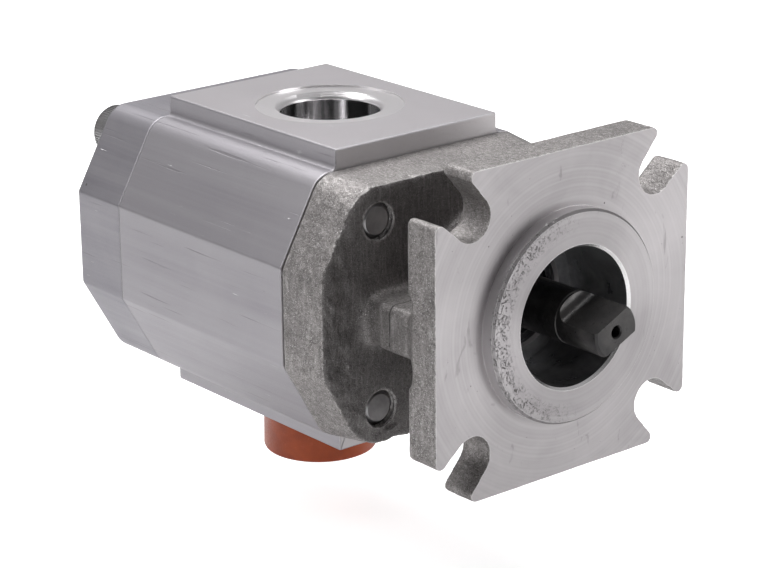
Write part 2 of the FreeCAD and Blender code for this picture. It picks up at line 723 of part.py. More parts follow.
def make_shaft_seal():
    """Rotary seal: metal case, rubber lip and garter spring."""
    back = "-coupling_depth - seal_depth + seal_gap"
    case_radius = "seal_bore / 2"
    wall = tube("SealWall", case_radius, f"{case_radius} - seal_wall", "seal_case_length", back)
    web = tube("SealWeb", case_radius, "shaft_dia / 2 + lip_clear + lip_thick + 1.4",
               "seal_wall", f"{back} + seal_case_length - seal_wall")
    node("shaft_seal_case", fuse("SealCase", [wall, web]))

    bore = "shaft_dia / 2 + lip_clear"
    rubber = tube("LipRoot", f"{case_radius} - seal_wall", bore, "1.5 * seal_wall",
                  f"{back} + seal_case_length - 2.5 * seal_wall")
    sleeve = tube("LipSleeve", f"{bore} + lip_thick", bore, "lip_length", f"{back} + seal_wall")
    contact = tube("LipContact", f"{bore} + lip_thick", "shaft_dia / 2 + lip_touch",
                   "lip_edge", f"{back} + seal_wall + 1")
    node("shaft_seal_lip", fuse("SealLip", [rubber, sleeve, contact]))

    spring = doc.addObject("Part::Torus", "GarterSpring")
    bind(spring, Radius1=f"{bore} + lip_thick + spring_wire_radius",
         Radius2="spring_wire_radius")
    place(spring, f"{back} + spring_x", turn=ALONG_X)
    node("shaft_seal_spring", spring)


def make_circlip():
    """Retaining ring in front of the seal: open at the top, with an eye at each end."""
    front = "-coupling_depth - circlip_set"
    back = f"{front} - circlip_thick - 0.05"
    outer = "seal_bore / 2 + circlip_grip"
    ring = tube("Circlip", outer, f"{outer} - circlip_wide", "circlip_thick", back)
    gap = box("CirclipGap", "circlip_thick + 2", "circlip_mouth", "2 * circlip_wide + 1",
              f"{back} - 1", "-circlip_mouth / 2", f"{outer} - circlip_wide - 1.6")
    blanks, eyes = [ring], [gap]
    for word, side in (("Left", "-"), ("Right", "")):
        across, up = f"{side}lug_half_pitch", "seal_bore / 2 - lug_inset"
        blanks.append(cylinder(f"CirclipLug{word}", "lug_radius", "circlip_thick", back,
                               across, up))
        eyes.append(cylinder(f"CirclipEye{word}", "lug_eye_radius", "circlip_thick + 2",
                             f"{back} - 1", across, up))
    node("seal_retaining_ring", cut("SealCirclip", fuse("CirclipBlank", blanks),
                                    fuse("CirclipTools", eyes)))


# ---------------------------------------------------------------- screws and dowels

def make_bolt(name, y, z):
    """Long socket screw: round head behind the rear cover, chamfered tip in front."""
    seat = COVER_REAR
    shank = cylinder(f"{name}Shank", "bolt_dia / 2", f"bolt_tip - tip_chamfer - ({seat})", seat,
                     y, z)
    tip = cone(f"{name}Tip", "bolt_dia / 2", "bolt_dia / 2 - tip_chamfer", "tip_chamfer",
               "bolt_tip - tip_chamfer", y, z)
    head = cylinder(f"{name}Head", "bolt_head_dia / 2", "bolt_head_length - head_chamfer",
                    f"{seat} - bolt_head_length + head_chamfer", y, z)
    crown = cone(f"{name}Crown", "bolt_head_dia / 2 - head_chamfer", "bolt_head_dia / 2",
                 "head_chamfer", f"{seat} - bolt_head_length", y, z)
    socket = doc.addObject("Part::Prism", f"{name}Socket")
    socket.Polygon = 6
    bind(socket, Circumradius="bolt_socket / sqrt(3)", Height="socket_depth + 1")
    place(socket, f"{seat} - bolt_head_length - 1", y, z, ALONG_X)
    return cut(name, fuse(f"{name}Blank", [shank, tip, head, crown]), socket)


def make_fasteners():
    bolts = [make_bolt(f"Bolt{step}", y, z) for step, (y, z) in enumerate(BOLT_PLACES, start=1)]
    node("through_bolts", group("Bolts", bolts))
    for end, middle in (("front", "body_front"), ("rear", BODY_REAR)):
        pins = [cylinder(f"{end}Dowel{step}", "dowel_dia / 2", "dowel_length",
                         f"{middle} - dowel_length / 2", y)
                for step, y in enumerate(DOWEL_PLACES, start=1)]
        node(f"{end}_dowels", group(f"{end}Dowels", pins))


# ---------------------------------------------------------------- transport plug

def make_transport_plug():
    """Plastic plug: round head below the lower pad, hollow stem inside the port."""
    head_top = "-pad_top - plug_gap"
    down = Rotation(Vector(1, 0, 0), 180)

    def stage(name, radius, length, z):
        return cylinder(name, radius, length, "bottom_port_x", "body_offset", z, down)

    head = stage("PlugHead", "plug_head_radius", "plug_head_height", head_top)
    rounded = doc.addObject("Part::Fillet", "PlugHeadRounded")
    rounded.Base = head
    doc.recompute()
    lowest = min(e.CenterOfMass.z for e in head.Shape.Edges)
    rim = [(n, 1.2, 1.2) for n, e in enumerate(head.Shape.Edges, start=1)
           if abs(e.CenterOfMass.z - lowest) < 0.01]
    rounded.Edges = rim
    stem_top = "-pad_top + spotface_depth + plug_stem_length"
    stem = stage("PlugStem", "plug_stem_dia / 2", f"{stem_top} - ({head_top}) + 1", stem_top)
    hollow = stage("PlugHollow", "plug_stem_dia / 2 - 2.5", f"{stem_top} - ({head_top}) + 12",
                   f"{stem_top} + 1")
    plug = cut("TransportPlug", fuse("PlugBlank", [rounded, stem]), hollow)
    node("port_transport_plug", plug)

    ring_top = "-pad_top + spotface_depth"
    ring = stage("PlugRing", "plug_head_radius - 1.4", f"{ring_top} - ({head_top}) - 0.05",
                 f"{ring_top} - 0.05")
    core = stage("PlugRingCore", "plug_stem_dia / 2 + 0.6", "20", f"{ring_top} + 5")
    node("plug_seal_ring", cut("PlugSealRing", ring, core))


# ---------------------------------------------------------------- build and write

node("front_cover", make_front_cover())
node("pump_body", make_pump_body())
node("rear_cover", make_rear_cover())
node("drive_gear_shaft", make_drive_gear_shaft())
node("driven_gear_shaft", make_driven_gear_shaft())
make_bearings()
make_body_seals()
make_shaft_seal()
make_circlip()
make_fasteners()
make_transport_plug()
doc.recompute()

failed = [o.Name for o in doc.Objects if {"Invalid", "Error"} & set(o.State)]
if failed:
    raise RuntimeError(f"failed objects: {failed}")
for sub_part in nodes:
    if sub_part.Shape.isNull() or not sub_part.Shape.isValid():
        raise RuntimeError(f"{sub_part.Label} has no sound shape")

os.makedirs("parts", exist_ok=True)
for sub_part in nodes:
    sub_part.Shape.exportStep(f"parts/{sub_part.Label}.step")
    bounds = sub_part.Shape.BoundBox
    print(f"{sub_part.Label:22s} solids {len(sub_part.Shape.Solids)}"
          f"  volume {sub_part.Shape.Volume / 1000:8.2f} cm3"
          f"  x {bounds.XMin:8.2f} to {bounds.XMax:8.2f}")
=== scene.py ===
# %% [markdown]
# # A hydraulic gear pump
# The pump has an extruded aluminium body between a cast front cover, which carries the
# square mounting flange, and a flat rear cover. Four long screws hold the three together.
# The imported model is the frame: it says where everything is, in metres, with the drive
# shaft along X and the mounting face of the flange at X = 0. This script adds the looks.

# %% Load the frame
import math
from contextlib import contextmanager

import bmesh
import bpy
from mathutils import Matrix, Vector


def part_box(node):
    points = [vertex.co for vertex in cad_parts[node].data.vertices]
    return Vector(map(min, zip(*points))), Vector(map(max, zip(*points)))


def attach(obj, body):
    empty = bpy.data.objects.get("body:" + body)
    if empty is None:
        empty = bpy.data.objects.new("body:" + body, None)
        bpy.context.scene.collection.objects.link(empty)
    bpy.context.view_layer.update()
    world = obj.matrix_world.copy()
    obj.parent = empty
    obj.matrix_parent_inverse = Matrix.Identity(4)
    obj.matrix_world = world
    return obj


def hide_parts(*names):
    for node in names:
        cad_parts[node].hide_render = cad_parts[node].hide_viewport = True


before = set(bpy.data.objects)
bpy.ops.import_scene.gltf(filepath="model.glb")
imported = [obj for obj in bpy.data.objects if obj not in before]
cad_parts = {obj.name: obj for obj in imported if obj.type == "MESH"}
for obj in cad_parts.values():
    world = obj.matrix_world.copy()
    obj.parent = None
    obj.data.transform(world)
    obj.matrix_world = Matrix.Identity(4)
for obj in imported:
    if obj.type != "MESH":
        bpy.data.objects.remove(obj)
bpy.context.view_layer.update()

MM = 0.001

# %% Driving sizes, in millimetres
BODY_CENTRE_Y = -15.875
FLANGE_FACE, PLATE_FRONT, PLATE_REAR, BODY_REAR = 0.0, -43.4, -65.4, -170.65
BOLT_HALF_Y, BOLT_HALF_Z, DOWEL_HALF_Y = 37.5, 36.7, 52
BOLT_PLACES = [(BODY_CENTRE_Y + y, z) for y in (-BOLT_HALF_Y, BOLT_HALF_Y)
               for z in (-BOLT_HALF_Z, BOLT_HALF_Z)]
TOP_PORT_X, LOWER_PORT_X = -118.5, -128.5
PORT_RADIUS, SPOTFACE_RADIUS, PAD_Z = 19.6, 29.4, 60.0
THREAD_PITCH = 2.0
print("screws at", BOLT_PLACES)

# %% [markdown]
# ## Camera
# The camera stands well back and has a long lens, so that the square flange stays nearly
# square. It looks at the flange from the left and from above. Its place is found by
# turning the three view axes and stepping back along them.

# %% Place the camera
AZIMUTH, ELEVATION, ROLL = (math.radians(a) for a in (50.52, 18.60, -0.61))
STEP_BACK = Vector((-67.24, 11.02, 1005.4)) * MM
LENS, SENSOR = 127.04, 36.0


def view_axes():
    """Right, up and backward axes of the camera, as the columns of a matrix."""
    back = Vector((math.sin(AZIMUTH) * math.cos(ELEVATION),
                   -math.cos(AZIMUTH) * math.cos(ELEVATION), math.sin(ELEVATION)))
    right = Vector((math.cos(AZIMUTH), math.sin(AZIMUTH), 0))
    up = back.cross(right)
    rolled_right = right * math.cos(ROLL) + up * math.sin(ROLL)
    rolled_up = up * math.cos(ROLL) - right * math.sin(ROLL)
    return Matrix((rolled_right, rolled_up, back)).transposed()


camera_data = bpy.data.cameras.new("studio_camera")
camera_data.sensor_width = SENSOR
camera_data.lens = LENS
camera_data.clip_start = 0.05
camera = bpy.data.objects.new("studio_camera", camera_data)
bpy.context.scene.collection.objects.link(camera)
camera.matrix_world = Matrix.Translation(view_axes() @ STEP_BACK) @ view_axes().to_4x4()
bpy.context.scene.camera = camera
print("camera at", [round(c, 4) for c in camera.location])

# %% [markdown]
# ## Modelling by hand, in code
# Every new piece starts as a primitive and is shaped with the same operators that a
# modeller uses. An operator acts on all that is selected, so these helpers first select
# one object only, or only the faces and edges that pass a test.


# %% Helpers: select and edit
def take(obj):
    """Make obj the only selected object, and the active one."""
    bpy.ops.object.select_all(action="DESELECT")
    obj.select_set(True)
    bpy.context.view_layer.objects.active = obj
    return obj


@contextmanager
def editing(obj, kind="FACE"):
    """Edit mode on obj, with all of it selected."""
    take(obj)
    bpy.ops.object.mode_set(mode="EDIT")
    bpy.ops.mesh.select_mode(type=kind)
    bpy.ops.mesh.select_all(action="SELECT")
    yield
    bpy.ops.object.mode_set(mode="OBJECT")


def pick(obj, parts, test):
    """In edit mode, select only the faces, edges or verts of obj that pass the test."""
    bpy.ops.mesh.select_all(action="DESELECT")
    mesh = bmesh.from_edit_mesh(obj.data)
    for part in getattr(mesh, parts):
        if test(part):
            part.select_set(True)
    mesh.select_flush_mode()
    bmesh.update_edit_mesh(obj.data)


def apply_modifier(obj, kind, **settings):
    """Add a modifier, set it and apply it."""
    take(obj)
    modifier = obj.modifiers.new(kind.title(), kind)
    for key, value in settings.items():
        setattr(modifier, key, value)
    bpy.ops.object.modifier_apply(modifier=modifier.name)


MERGE_GAP = 0.001


def tidy_mesh(obj):
    """Merge doubled points and turn every face outwards."""
    with editing(obj, "VERT"):
        bpy.ops.mesh.remove_doubles(threshold=MERGE_GAP * MM)
        bpy.ops.mesh.normals_make_consistent(inside=False)


def smooth(obj, angle=35):
    """Smooth shading with sharp edges kept above an angle in degrees."""
    take(obj)
    bpy.ops.object.shade_smooth_by_angle(angle=math.radians(angle))


def named(obj, name):
    """Give an object and its mesh the same name."""
    obj.name = name
    obj.data.name = name
    return obj


# %% Helper: turn a shape on the lathe
ALONG_X = (0, math.pi / 2, 0)


def turned(name, profile, steps=96, centre=(0, 0, 0), slot=0):
    """A round piece along X, grown ring by ring from (x, radius) pairs in millimetres.

    The first ring is a circle. Each pair extrudes it and scales it to the new radius. Both
    ends are capped.
    """
    centre = Vector(centre) * MM
    x, radius = profile[0]
    start = centre + Vector((x * MM, 0, 0))
    bpy.ops.object.select_all(action="DESELECT")
    bpy.ops.mesh.primitive_circle_add(vertices=steps, radius=radius * MM, location=start,
                                      rotation=ALONG_X, fill_type="NOTHING")
    piece = named(bpy.context.object, name)
    bpy.ops.object.transform_apply(location=True, rotation=True, scale=True)
    with editing(piece, "EDGE"):
        bpy.ops.mesh.extrude_region_move()
        bpy.ops.mesh.edge_face_add()
        pick(piece, "edges", lambda e: len(e.link_faces) == 1 or not e.link_faces)
        for next_x, next_radius in profile[1:]:
            bpy.ops.mesh.extrude_region_move(
                TRANSFORM_OT_translate={"value": ((next_x - x) * MM, 0, 0)})
            if next_radius != radius:
                grow = next_radius / radius
                bpy.ops.transform.resize(value=(1, grow, grow),
                                         center_override=centre + Vector((next_x * MM, 0, 0)))
            x, radius = next_x, next_radius
        bpy.ops.mesh.edge_face_add()
    tidy_mesh(piece)
    for face in piece.data.polygons:
        face.material_index = slot
    return piece


def joined(name, pieces):
    """Several meshes as one object."""
    take(pieces[0])
    for piece in pieces[1:]:
        piece.select_set(True)
    bpy.ops.object.join()
    return named(bpy.context.object, name)


def machine(work, tool, operation="DIFFERENCE"):
    """Cut the work with a tool, or weld it on, and throw the tool away."""
    apply_modifier(work, "BOOLEAN", object=tool, operation=operation, solver="EXACT")
    bpy.data.objects.remove(tool)


def triangles(obj):
    """How many triangles the faces of an object make."""
    return sum(len(face.vertices) - 2 for face in obj.data.polygons)

# %% [markdown]
# ## Front cover: cast first, machined after
# The front cover is poured in sand, so its skin is rough and every inner corner has a soft
# blend. Then it goes on a lathe and a drill, which leave flat faces and sharp edges. The
# piece is made in the same order. A copy of the frame's cover gets extra metal where it
# will be cut, a voxel remesh melts it into one soft skin, and boolean cuts machine it.

# %% Pour the casting
PILOT_TOP, ALLOWANCE = 6.0, 1.0
BOSS_RADIUS, BOSS_BACK = 43, -14
CORE_RADIUS, CORE_BACK, CORE_FRONT = 34, -60, -10
FILLER_RADIUS = 8.2
FINE_VOXEL, QUICK_VOXEL = 1.0, 2.0


def near_x(vert, x):
    """Does a point lie on the plane at x millimetres?"""
    return abs(vert.co.x - x * MM) < 0.01 * MM


def pour_casting():
    """The rough casting: with machining allowance, melted into one soft skin."""
    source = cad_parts["front_cover"]
    casting = bpy.data.objects.new("front_casting", source.data.copy())
    bpy.context.scene.collection.objects.link(casting)
    tidy_mesh(casting)
    with editing(casting, "VERT"):
        for x, push in ((FLANGE_FACE, ALLOWANCE), (PLATE_REAR, -ALLOWANCE)):
            pick(casting, "verts", lambda v: near_x(v, x))
            bpy.ops.transform.translate(value=(push * MM, 0, 0))
    fillers = [turned("boss", [(BOSS_BACK, BOSS_RADIUS), (PILOT_TOP + ALLOWANCE, BOSS_RADIUS)]),
               turned("core", [(CORE_BACK, CORE_RADIUS), (CORE_FRONT, CORE_RADIUS)])]
    filler = [(PLATE_REAR - ALLOWANCE, FILLER_RADIUS), (PLATE_FRONT, FILLER_RADIUS)]
    for y, z in BOLT_PLACES:
        fillers.append(turned("filler", filler, 32, (0, y, z)))
    casting = joined("front_casting", [casting] + fillers)
    voxel = FINE_VOXEL
    apply_modifier(casting, "REMESH", mode="VOXEL", voxel_size=voxel * MM,
                   use_smooth_shade=True)
    return casting


# %% Soften it and add the sand
NECK_BLEND, RIB_HALF_HEIGHT, RIB_LEFT, RIB_RIGHT = 44, 18, -69, 52
PLATE_ROOT, PLATE_REACH, FLANGE_ROOT, FLANGE_REACH = -41.9, 6.5, -15.5, 3
RIM_X, RIM_REACH, RIM_SIDE, RIM_TOP, RIM_SLANT = -44.2, 1.6, 52, 45, 84
EDGE_PASSES, ROOT_PASSES = 2, 90
RAGGED_SIZE, RAGGED_DEPTH = 6, 2.4
SAND = (("sand_lumps", 9.0, 0.30), ("sand_grains", 1.6, 0.16))


def near_root(co):
    """Is a point near the root of the neck or of the ribs, at the plate or the flange?"""
    x, y, z = co / MM
    on_neck = math.hypot(y, z) < NECK_BLEND
    on_rib = abs(z) < RIB_HALF_HEIGHT and RIB_LEFT < y < RIB_RIGHT
    at_root = abs(x - PLATE_ROOT) < PLATE_REACH or abs(x - FLANGE_ROOT) < FLANGE_REACH
    return (on_neck or on_rib) and at_root


def near_rim(co):
    """Is a point on the ragged front rim of the plate, where the mould parted?"""
    x, y, z = co / MM
    across = abs(y - BODY_CENTRE_Y)
    outside = across > RIM_SIDE or abs(z) > RIM_TOP or across + abs(z) > RIM_SLANT
    return abs(x - RIM_X) < RIM_REACH and outside


def grouped(obj, name, test):
    """A vertex group of the points that pass the test."""
    group = obj.vertex_groups.new(name=name)
    group.add([v.index for v in obj.data.vertices if test(v.co)], 1.0, "REPLACE")
    return name


def rough_texture(name, size, depth):
    """A cloudy texture for a cast skin, its lumps of a size in millimetres."""
    texture = bpy.data.textures.new(name, "CLOUDS")
    texture.noise_scale = size * MM
    texture.noise_depth = depth
    return texture


def soften(casting):
    """Round all edges a little and the roots of neck and ribs a lot, then add the sand."""
    apply_modifier(casting, "SMOOTH", factor=0.5, iterations=EDGE_PASSES)
    roots = grouped(casting, "roots", near_root)
    apply_modifier(casting, "SMOOTH", factor=0.5, iterations=ROOT_PASSES, vertex_group=roots)
    flash = grouped(casting, "flash", near_rim)
    apply_modifier(casting, "DISPLACE", texture=rough_texture("ragged_rim", RAGGED_SIZE, 3),
                   strength=RAGGED_DEPTH * MM, mid_level=0.5, vertex_group=flash)
    for name, size, depth in SAND:
        apply_modifier(casting, "DISPLACE", texture=rough_texture(name, size, 2),
                       strength=depth * MM, mid_level=0.5)


casting = pour_casting()
soften(casting)
print("casting", triangles(casting), "triangles")

# %% Tools for turning, boring and drilling
CUT, BORE = 1, 2
PILOT_RADIUS, FACING_RADIUS = 41.275, 110
BORE_RADIUS, BORE_FLOOR, BORE_MOUTH = 27, -26, PILOT_TOP - 1
SEAT_RADIUS, SEAT_MOUTH, SEAT_FLOOR, SHAFT_HOLE_RADIUS = 20, -27.2, -40, 12
GROOVE_RADIUS, GROOVE_FRONT, GROOVE_REAR = 21.2, -29, -30.85
TAP_RADIUS, TAP_ROOT, TAP_MOUTH, TAP_TURNS = 7.05, 7.6, 8.0, 3
CLEAR_FRONT, CLEAR_REAR = 12, -70


def facing_tool():
    """All that the lathe takes off in front: round the pilot, off its rim and its top."""
    return turned("facing", [(CLEAR_FRONT, FACING_RADIUS), (FLANGE_FACE, FACING_RADIUS),
                             (FLANGE_FACE, PILOT_RADIUS), (PILOT_TOP - 1, PILOT_RADIUS),
                             (PILOT_TOP, PILOT_RADIUS - 1)], 160, slot=CUT)


def boring_tool():
    """Stepped bore: chamfer, coupling space, circlip groove, seal seat and shaft hole."""
    tool = turned("boring", [(CLEAR_FRONT, BORE_RADIUS + 7), (BORE_MOUTH, BORE_RADIUS),
                             (BORE_FLOOR, BORE_RADIUS), (BORE_FLOOR, GROOVE_RADIUS),
                             (SEAT_MOUTH, SEAT_RADIUS), (GROOVE_FRONT, SEAT_RADIUS),
                             (GROOVE_FRONT, GROOVE_RADIUS), (GROOVE_REAR, GROOVE_RADIUS),
                             (GROOVE_REAR, SEAT_RADIUS), (SEAT_FLOOR, SEAT_RADIUS),
                             (SEAT_FLOOR, SHAFT_HOLE_RADIUS),
                             (CLEAR_REAR, SHAFT_HOLE_RADIUS)], 128, slot=BORE)
    for face in tool.data.polygons:
        x = face.center.x / MM
        if x > BORE_MOUTH - 0.1 or SEAT_MOUTH < x < BORE_FLOOR - 0.05:
            face.material_index = CUT
    return tool


def drill(y, z):
    """Chamfered screw hole through the plate, with its first thread turns as rings."""
    profile = [(PLATE_FRONT + 0.5, TAP_MOUTH), (PLATE_FRONT - 0.5, TAP_RADIUS)]
    for turn in range(TAP_TURNS):
        start = PLATE_FRONT - 0.5 - turn * THREAD_PITCH
        profile += [(start - 0.3 * THREAD_PITCH, TAP_ROOT),
                    (start - 0.7 * THREAD_PITCH, TAP_ROOT), (start - THREAD_PITCH, TAP_RADIUS)]
    profile.append((CLEAR_REAR, TAP_RADIUS))
    return turned("drill", profile, 48, (0, y, z), slot=CUT)


# %% Turn, bore and drill the casting
REAR_CHAMFER, SEAM_GAP = 1.1, 0.004


def chamfer_rear(casting):
    """Saw the rear face flat and bevel its outline."""
    with editing(casting, "VERT"):
        bpy.ops.mesh.bisect(plane_co=((PLATE_REAR + REAR_CHAMFER) * MM, 0, 0),
                            plane_no=(-1, 0, 0), clear_outer=True, use_fill=True,
                            threshold=1e-6)
        bpy.ops.mesh.select_mode(type="FACE")
        pick(casting, "faces", lambda f: f.normal.x < -0.99
             and near_x(f.verts[0], PLATE_REAR + REAR_CHAMFER))
        bpy.ops.mesh.inset(thickness=REAR_CHAMFER * MM, use_even_offset=False)
        bpy.ops.transform.translate(value=(-REAR_CHAMFER * MM, 0, 0))


def close_seams(casting):
    """Merge the slivers that the cuts left and close the gaps between them."""
    with editing(casting, "VERT"):
        bpy.ops.mesh.select_all(action="SELECT")
        bpy.ops.mesh.remove_doubles(threshold=SEAM_GAP * MM)
        bpy.ops.mesh.select_all(action="DESELECT")
        bpy.ops.mesh.select_non_manifold()
        bpy.ops.mesh.fill_holes(sides=8)


casting.data.materials.clear()
for name in ("cast_skin", "machined_face", "dark_bore"):
    casting.data.materials.append(bpy.data.materials.new(name))
chamfer_rear(casting)
machine(casting, facing_tool())
machine(casting, boring_tool())
machine(casting, joined("drills", [drill(y, z) for y, z in BOLT_PLACES]))
close_seams(casting)
cover_low, cover_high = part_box("front_cover")
for vert in casting.data.vertices:
    vert.co = [min(max(at, low), high) for at, low, high in zip(vert.co, cover_low, cover_high)]
print("cover", triangles(casting), "triangles")

# %% [markdown]
# ## Body and rear cover
# These two are sawn from one extruded bar, so the frame's meshes are already right. What
# they lack is the small chamfer that the saw burr was filed to, which catches the light
# as a bright line at each joint. Each mesh is copied and merged, its flat triangles are
# joined back into faces, and the outline at its ends is bevelled.

# %% File the sawn edges
HOLE_CLEAR = 8.5


def on_outline(edge, ends):
    """Is an edge on the outer outline at one of the end planes?"""
    if not any(all(near_x(v, x) for v in edge.verts) for x in ends):
        return False
    middle = (edge.verts[0].co + edge.verts[1].co) / 2 / MM
    across, up = middle.y - BODY_CENTRE_Y, middle.z
    outwards = Vector((0, across, up)).normalized()
    holes = [(y - BODY_CENTRE_Y, z) for y, z in BOLT_PLACES]
    holes += [(-DOWEL_HALF_Y, 0), (DOWEL_HALF_Y, 0)]
    clear = all(math.hypot(across - y, up - z) > HOLE_CLEAR for y, z in holes)
    return clear and any(f.normal.dot(outwards) > 0.3 for f in edge.link_faces)


def filed_copy(node, name, ends, width):
    """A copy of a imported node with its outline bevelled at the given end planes."""
    piece = bpy.data.objects.new(name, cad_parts[node].data.copy())
    bpy.context.scene.collection.objects.link(piece)
    tidy_mesh(piece)
    with editing(piece, "EDGE"):
        bpy.ops.mesh.dissolve_limited(angle_limit=math.radians(0.3))
        pick(piece, "edges", lambda e: on_outline(e, ends))
        bpy.ops.mesh.bevel(offset=width * MM, segments=2, profile=0.5)
    smooth(piece, 25)
    apply_modifier(piece, "WEIGHTED_NORMAL", mode="FACE_AREA", keep_sharp=True)
    return piece


body = filed_copy("pump_body", "body_extrusion", (PLATE_REAR, BODY_REAR), 0.6)
rear_cover = filed_copy("rear_cover", "rear_cover_plate", (BODY_REAR,), 0.8)
print("body", triangles(body), "rear cover", triangles(rear_cover), "triangles")

# %% [markdown]
# ## Cover screws
# Four long socket screws run from the rear cover into the front plate. Each has a knurled
# head with a hexagonal socket, a plain shank and a thread whose end shows in the plate.
# A turned cylinder is the start: its head is knurled by pulling every other narrow face
# in, the socket is cut, and the thread is a small V that a Screw modifier winds up.

# %% Wind a thread
SCREW_RADIUS, HEAD_RADIUS = 7.0, 10.5
HEAD_BACK, HEAD_SEAT, THREAD_START, SCREW_TIP = -215.05, -201.05, -86.0, -44.6
THREAD_DEPTH, THREAD_ROOT, TIP_RADIUS = 1.1, 5.9, 5.3
SOCKET_RADIUS, SOCKET_MOUTH, SOCKET_DEPTH = 6.93, 8.4, 7
KNURL_FACES, KNURL_LENGTH = 120, 0.005


def wound_thread(name, start, end, radius, depth, pitch, steps=48):
    """A helical ridge along X, cut flat and closed at both ends."""
    bpy.ops.object.select_all(action="DESELECT")
    bpy.ops.mesh.primitive_grid_add(x_subdivisions=3, y_subdivisions=1, size=MM)
    ridge = named(bpy.context.object, name)
    with editing(ridge, "VERT"):
        pick(ridge, "verts", lambda v: v.co.y > 0)
        bpy.ops.mesh.delete(type="VERT")
    outline = [(0, -depth), (0.38 * pitch, 0), (0.62 * pitch, 0), (pitch, -depth)]
    points = sorted(ridge.data.vertices, key=lambda v: v.co.x)
    for vert, (along, out) in zip(points, outline):
        vert.co = ((start - pitch + along) * MM, 0, (radius + out) * MM)
    apply_modifier(ridge, "SCREW", axis="X", screw_offset=pitch * MM, steps=steps,
                   render_steps=steps, iterations=math.ceil((end - start) / pitch) + 2,
                   use_merge_vertices=True, merge_threshold=0.01 * MM)
    tidy_mesh(ridge)
    for cut_x, side in ((start, -1), (end, 1)):
        with editing(ridge, "VERT"):
            bpy.ops.mesh.bisect(plane_co=(cut_x * MM, 0, 0), plane_no=(side, 0, 0),
                                clear_outer=True, use_fill=True, threshold=1e-6)
    tidy_mesh(ridge)
    return ridge


# %% Make one screw, then copy it
def knurl(head, faces_round):
    """Pull in every other narrow face round the head."""
    step = 360 / faces_round

    def in_groove(face):
        angle = math.degrees(math.atan2(face.normal.z, face.normal.y))
        places = [v.co.x for v in face.verts]
        long = max(places) - min(places) > KNURL_LENGTH
        return long and abs(face.normal.x) < 0.1 and int(angle // step) % 2 == 0

    with editing(head):
        pick(head, "faces", in_groove)
        bpy.ops.mesh.extrude_region_move()
        bpy.ops.transform.resize(value=(0.97, 0.965, 0.965),
                                 center_override=((HEAD_BACK + HEAD_SEAT) / 2 * MM, 0, 0))


def make_screw(name):
    """One screw on the X axis: head and shank turned, thread wound, socket cut."""
    head = turned("head", [(HEAD_BACK, 9.4), (HEAD_BACK + 0.4, 10.1),
                           (HEAD_BACK + 1.1, HEAD_RADIUS), (HEAD_SEAT - 1.4, HEAD_RADIUS),
                           (HEAD_SEAT - 0.7, 10.1), (HEAD_SEAT, 9.8)], KNURL_FACES)
    knurl(head, KNURL_FACES)
    machine(head, turned("socket", [(HEAD_BACK - 1, SOCKET_MOUTH),
                                    (HEAD_BACK + 0.5, SOCKET_RADIUS),
                                    (HEAD_BACK + SOCKET_DEPTH, SOCKET_RADIUS),
                                    (HEAD_BACK + SOCKET_DEPTH + 2, 1)], 6))
    shank = turned("shank", [(HEAD_SEAT - 1, SCREW_RADIUS), (THREAD_START - 2, SCREW_RADIUS),
                             (THREAD_START - 1, THREAD_ROOT),
                             (THREAD_START + 2, THREAD_ROOT)], 48)
    thread = wound_thread("thread", THREAD_START, SCREW_TIP, SCREW_RADIUS, THREAD_DEPTH,
                          THREAD_PITCH)
    envelope = turned("envelope", [(THREAD_START - 5, 7.5), (SCREW_TIP - 1.6, 7.2),
                                   (SCREW_TIP, TIP_RADIUS)], 48)
    machine(thread, envelope, "INTERSECT")
    return joined(name, [head, shank, thread])


def copy_to(source, name, shift, turn):
    """A copy with its own mesh, which is turned and then shifted by millimetres."""
    piece = source.copy()
    piece.data = source.data.copy()
    bpy.context.scene.collection.objects.link(piece)
    piece.data.transform(turn)
    piece.data.transform(Matrix.Translation(Vector(shift) * MM))
    return named(piece, name)


first_screw = make_screw("screw_blank")
SCREW_NAMES = ["lower_left", "upper_left", "lower_right", "upper_right"]
SCREW_TURNS = [10, 25, 47, 5]
screws = []
for word, (y, z), angle in zip(SCREW_NAMES, BOLT_PLACES, SCREW_TURNS):
    turn = Matrix.Rotation(math.radians(angle), 4, "X")
    screws.append(copy_to(first_screw, f"cover_screw_{word}", (0, y, z), turn))
bpy.data.objects.remove(first_screw)
for screw in screws:
    smooth(screw, 30)
print("screw", triangles(screws[0]), "triangles each")

# %% [markdown]
# ## Transport plug
# A soft plastic plug closes the lower port while the pump travels. It is moulded in one:
# a round head to grip, and a stem that fills the port and is hollow from above.

# %% Mould the plug
PLUG_TOP, PLUG_HEAD_TOP, PLUG_BOTTOM = -47.2, -61.5, -86.0


def upright(piece, x, y):
    """Turn a piece from the X axis to the Z axis (its +X end up) and set it at x, y."""
    piece.data.transform(Matrix.Rotation(-math.pi / 2, 4, "Y"))
    piece.data.transform(Matrix.Translation(Vector((x, y, 0)) * MM))
    return piece


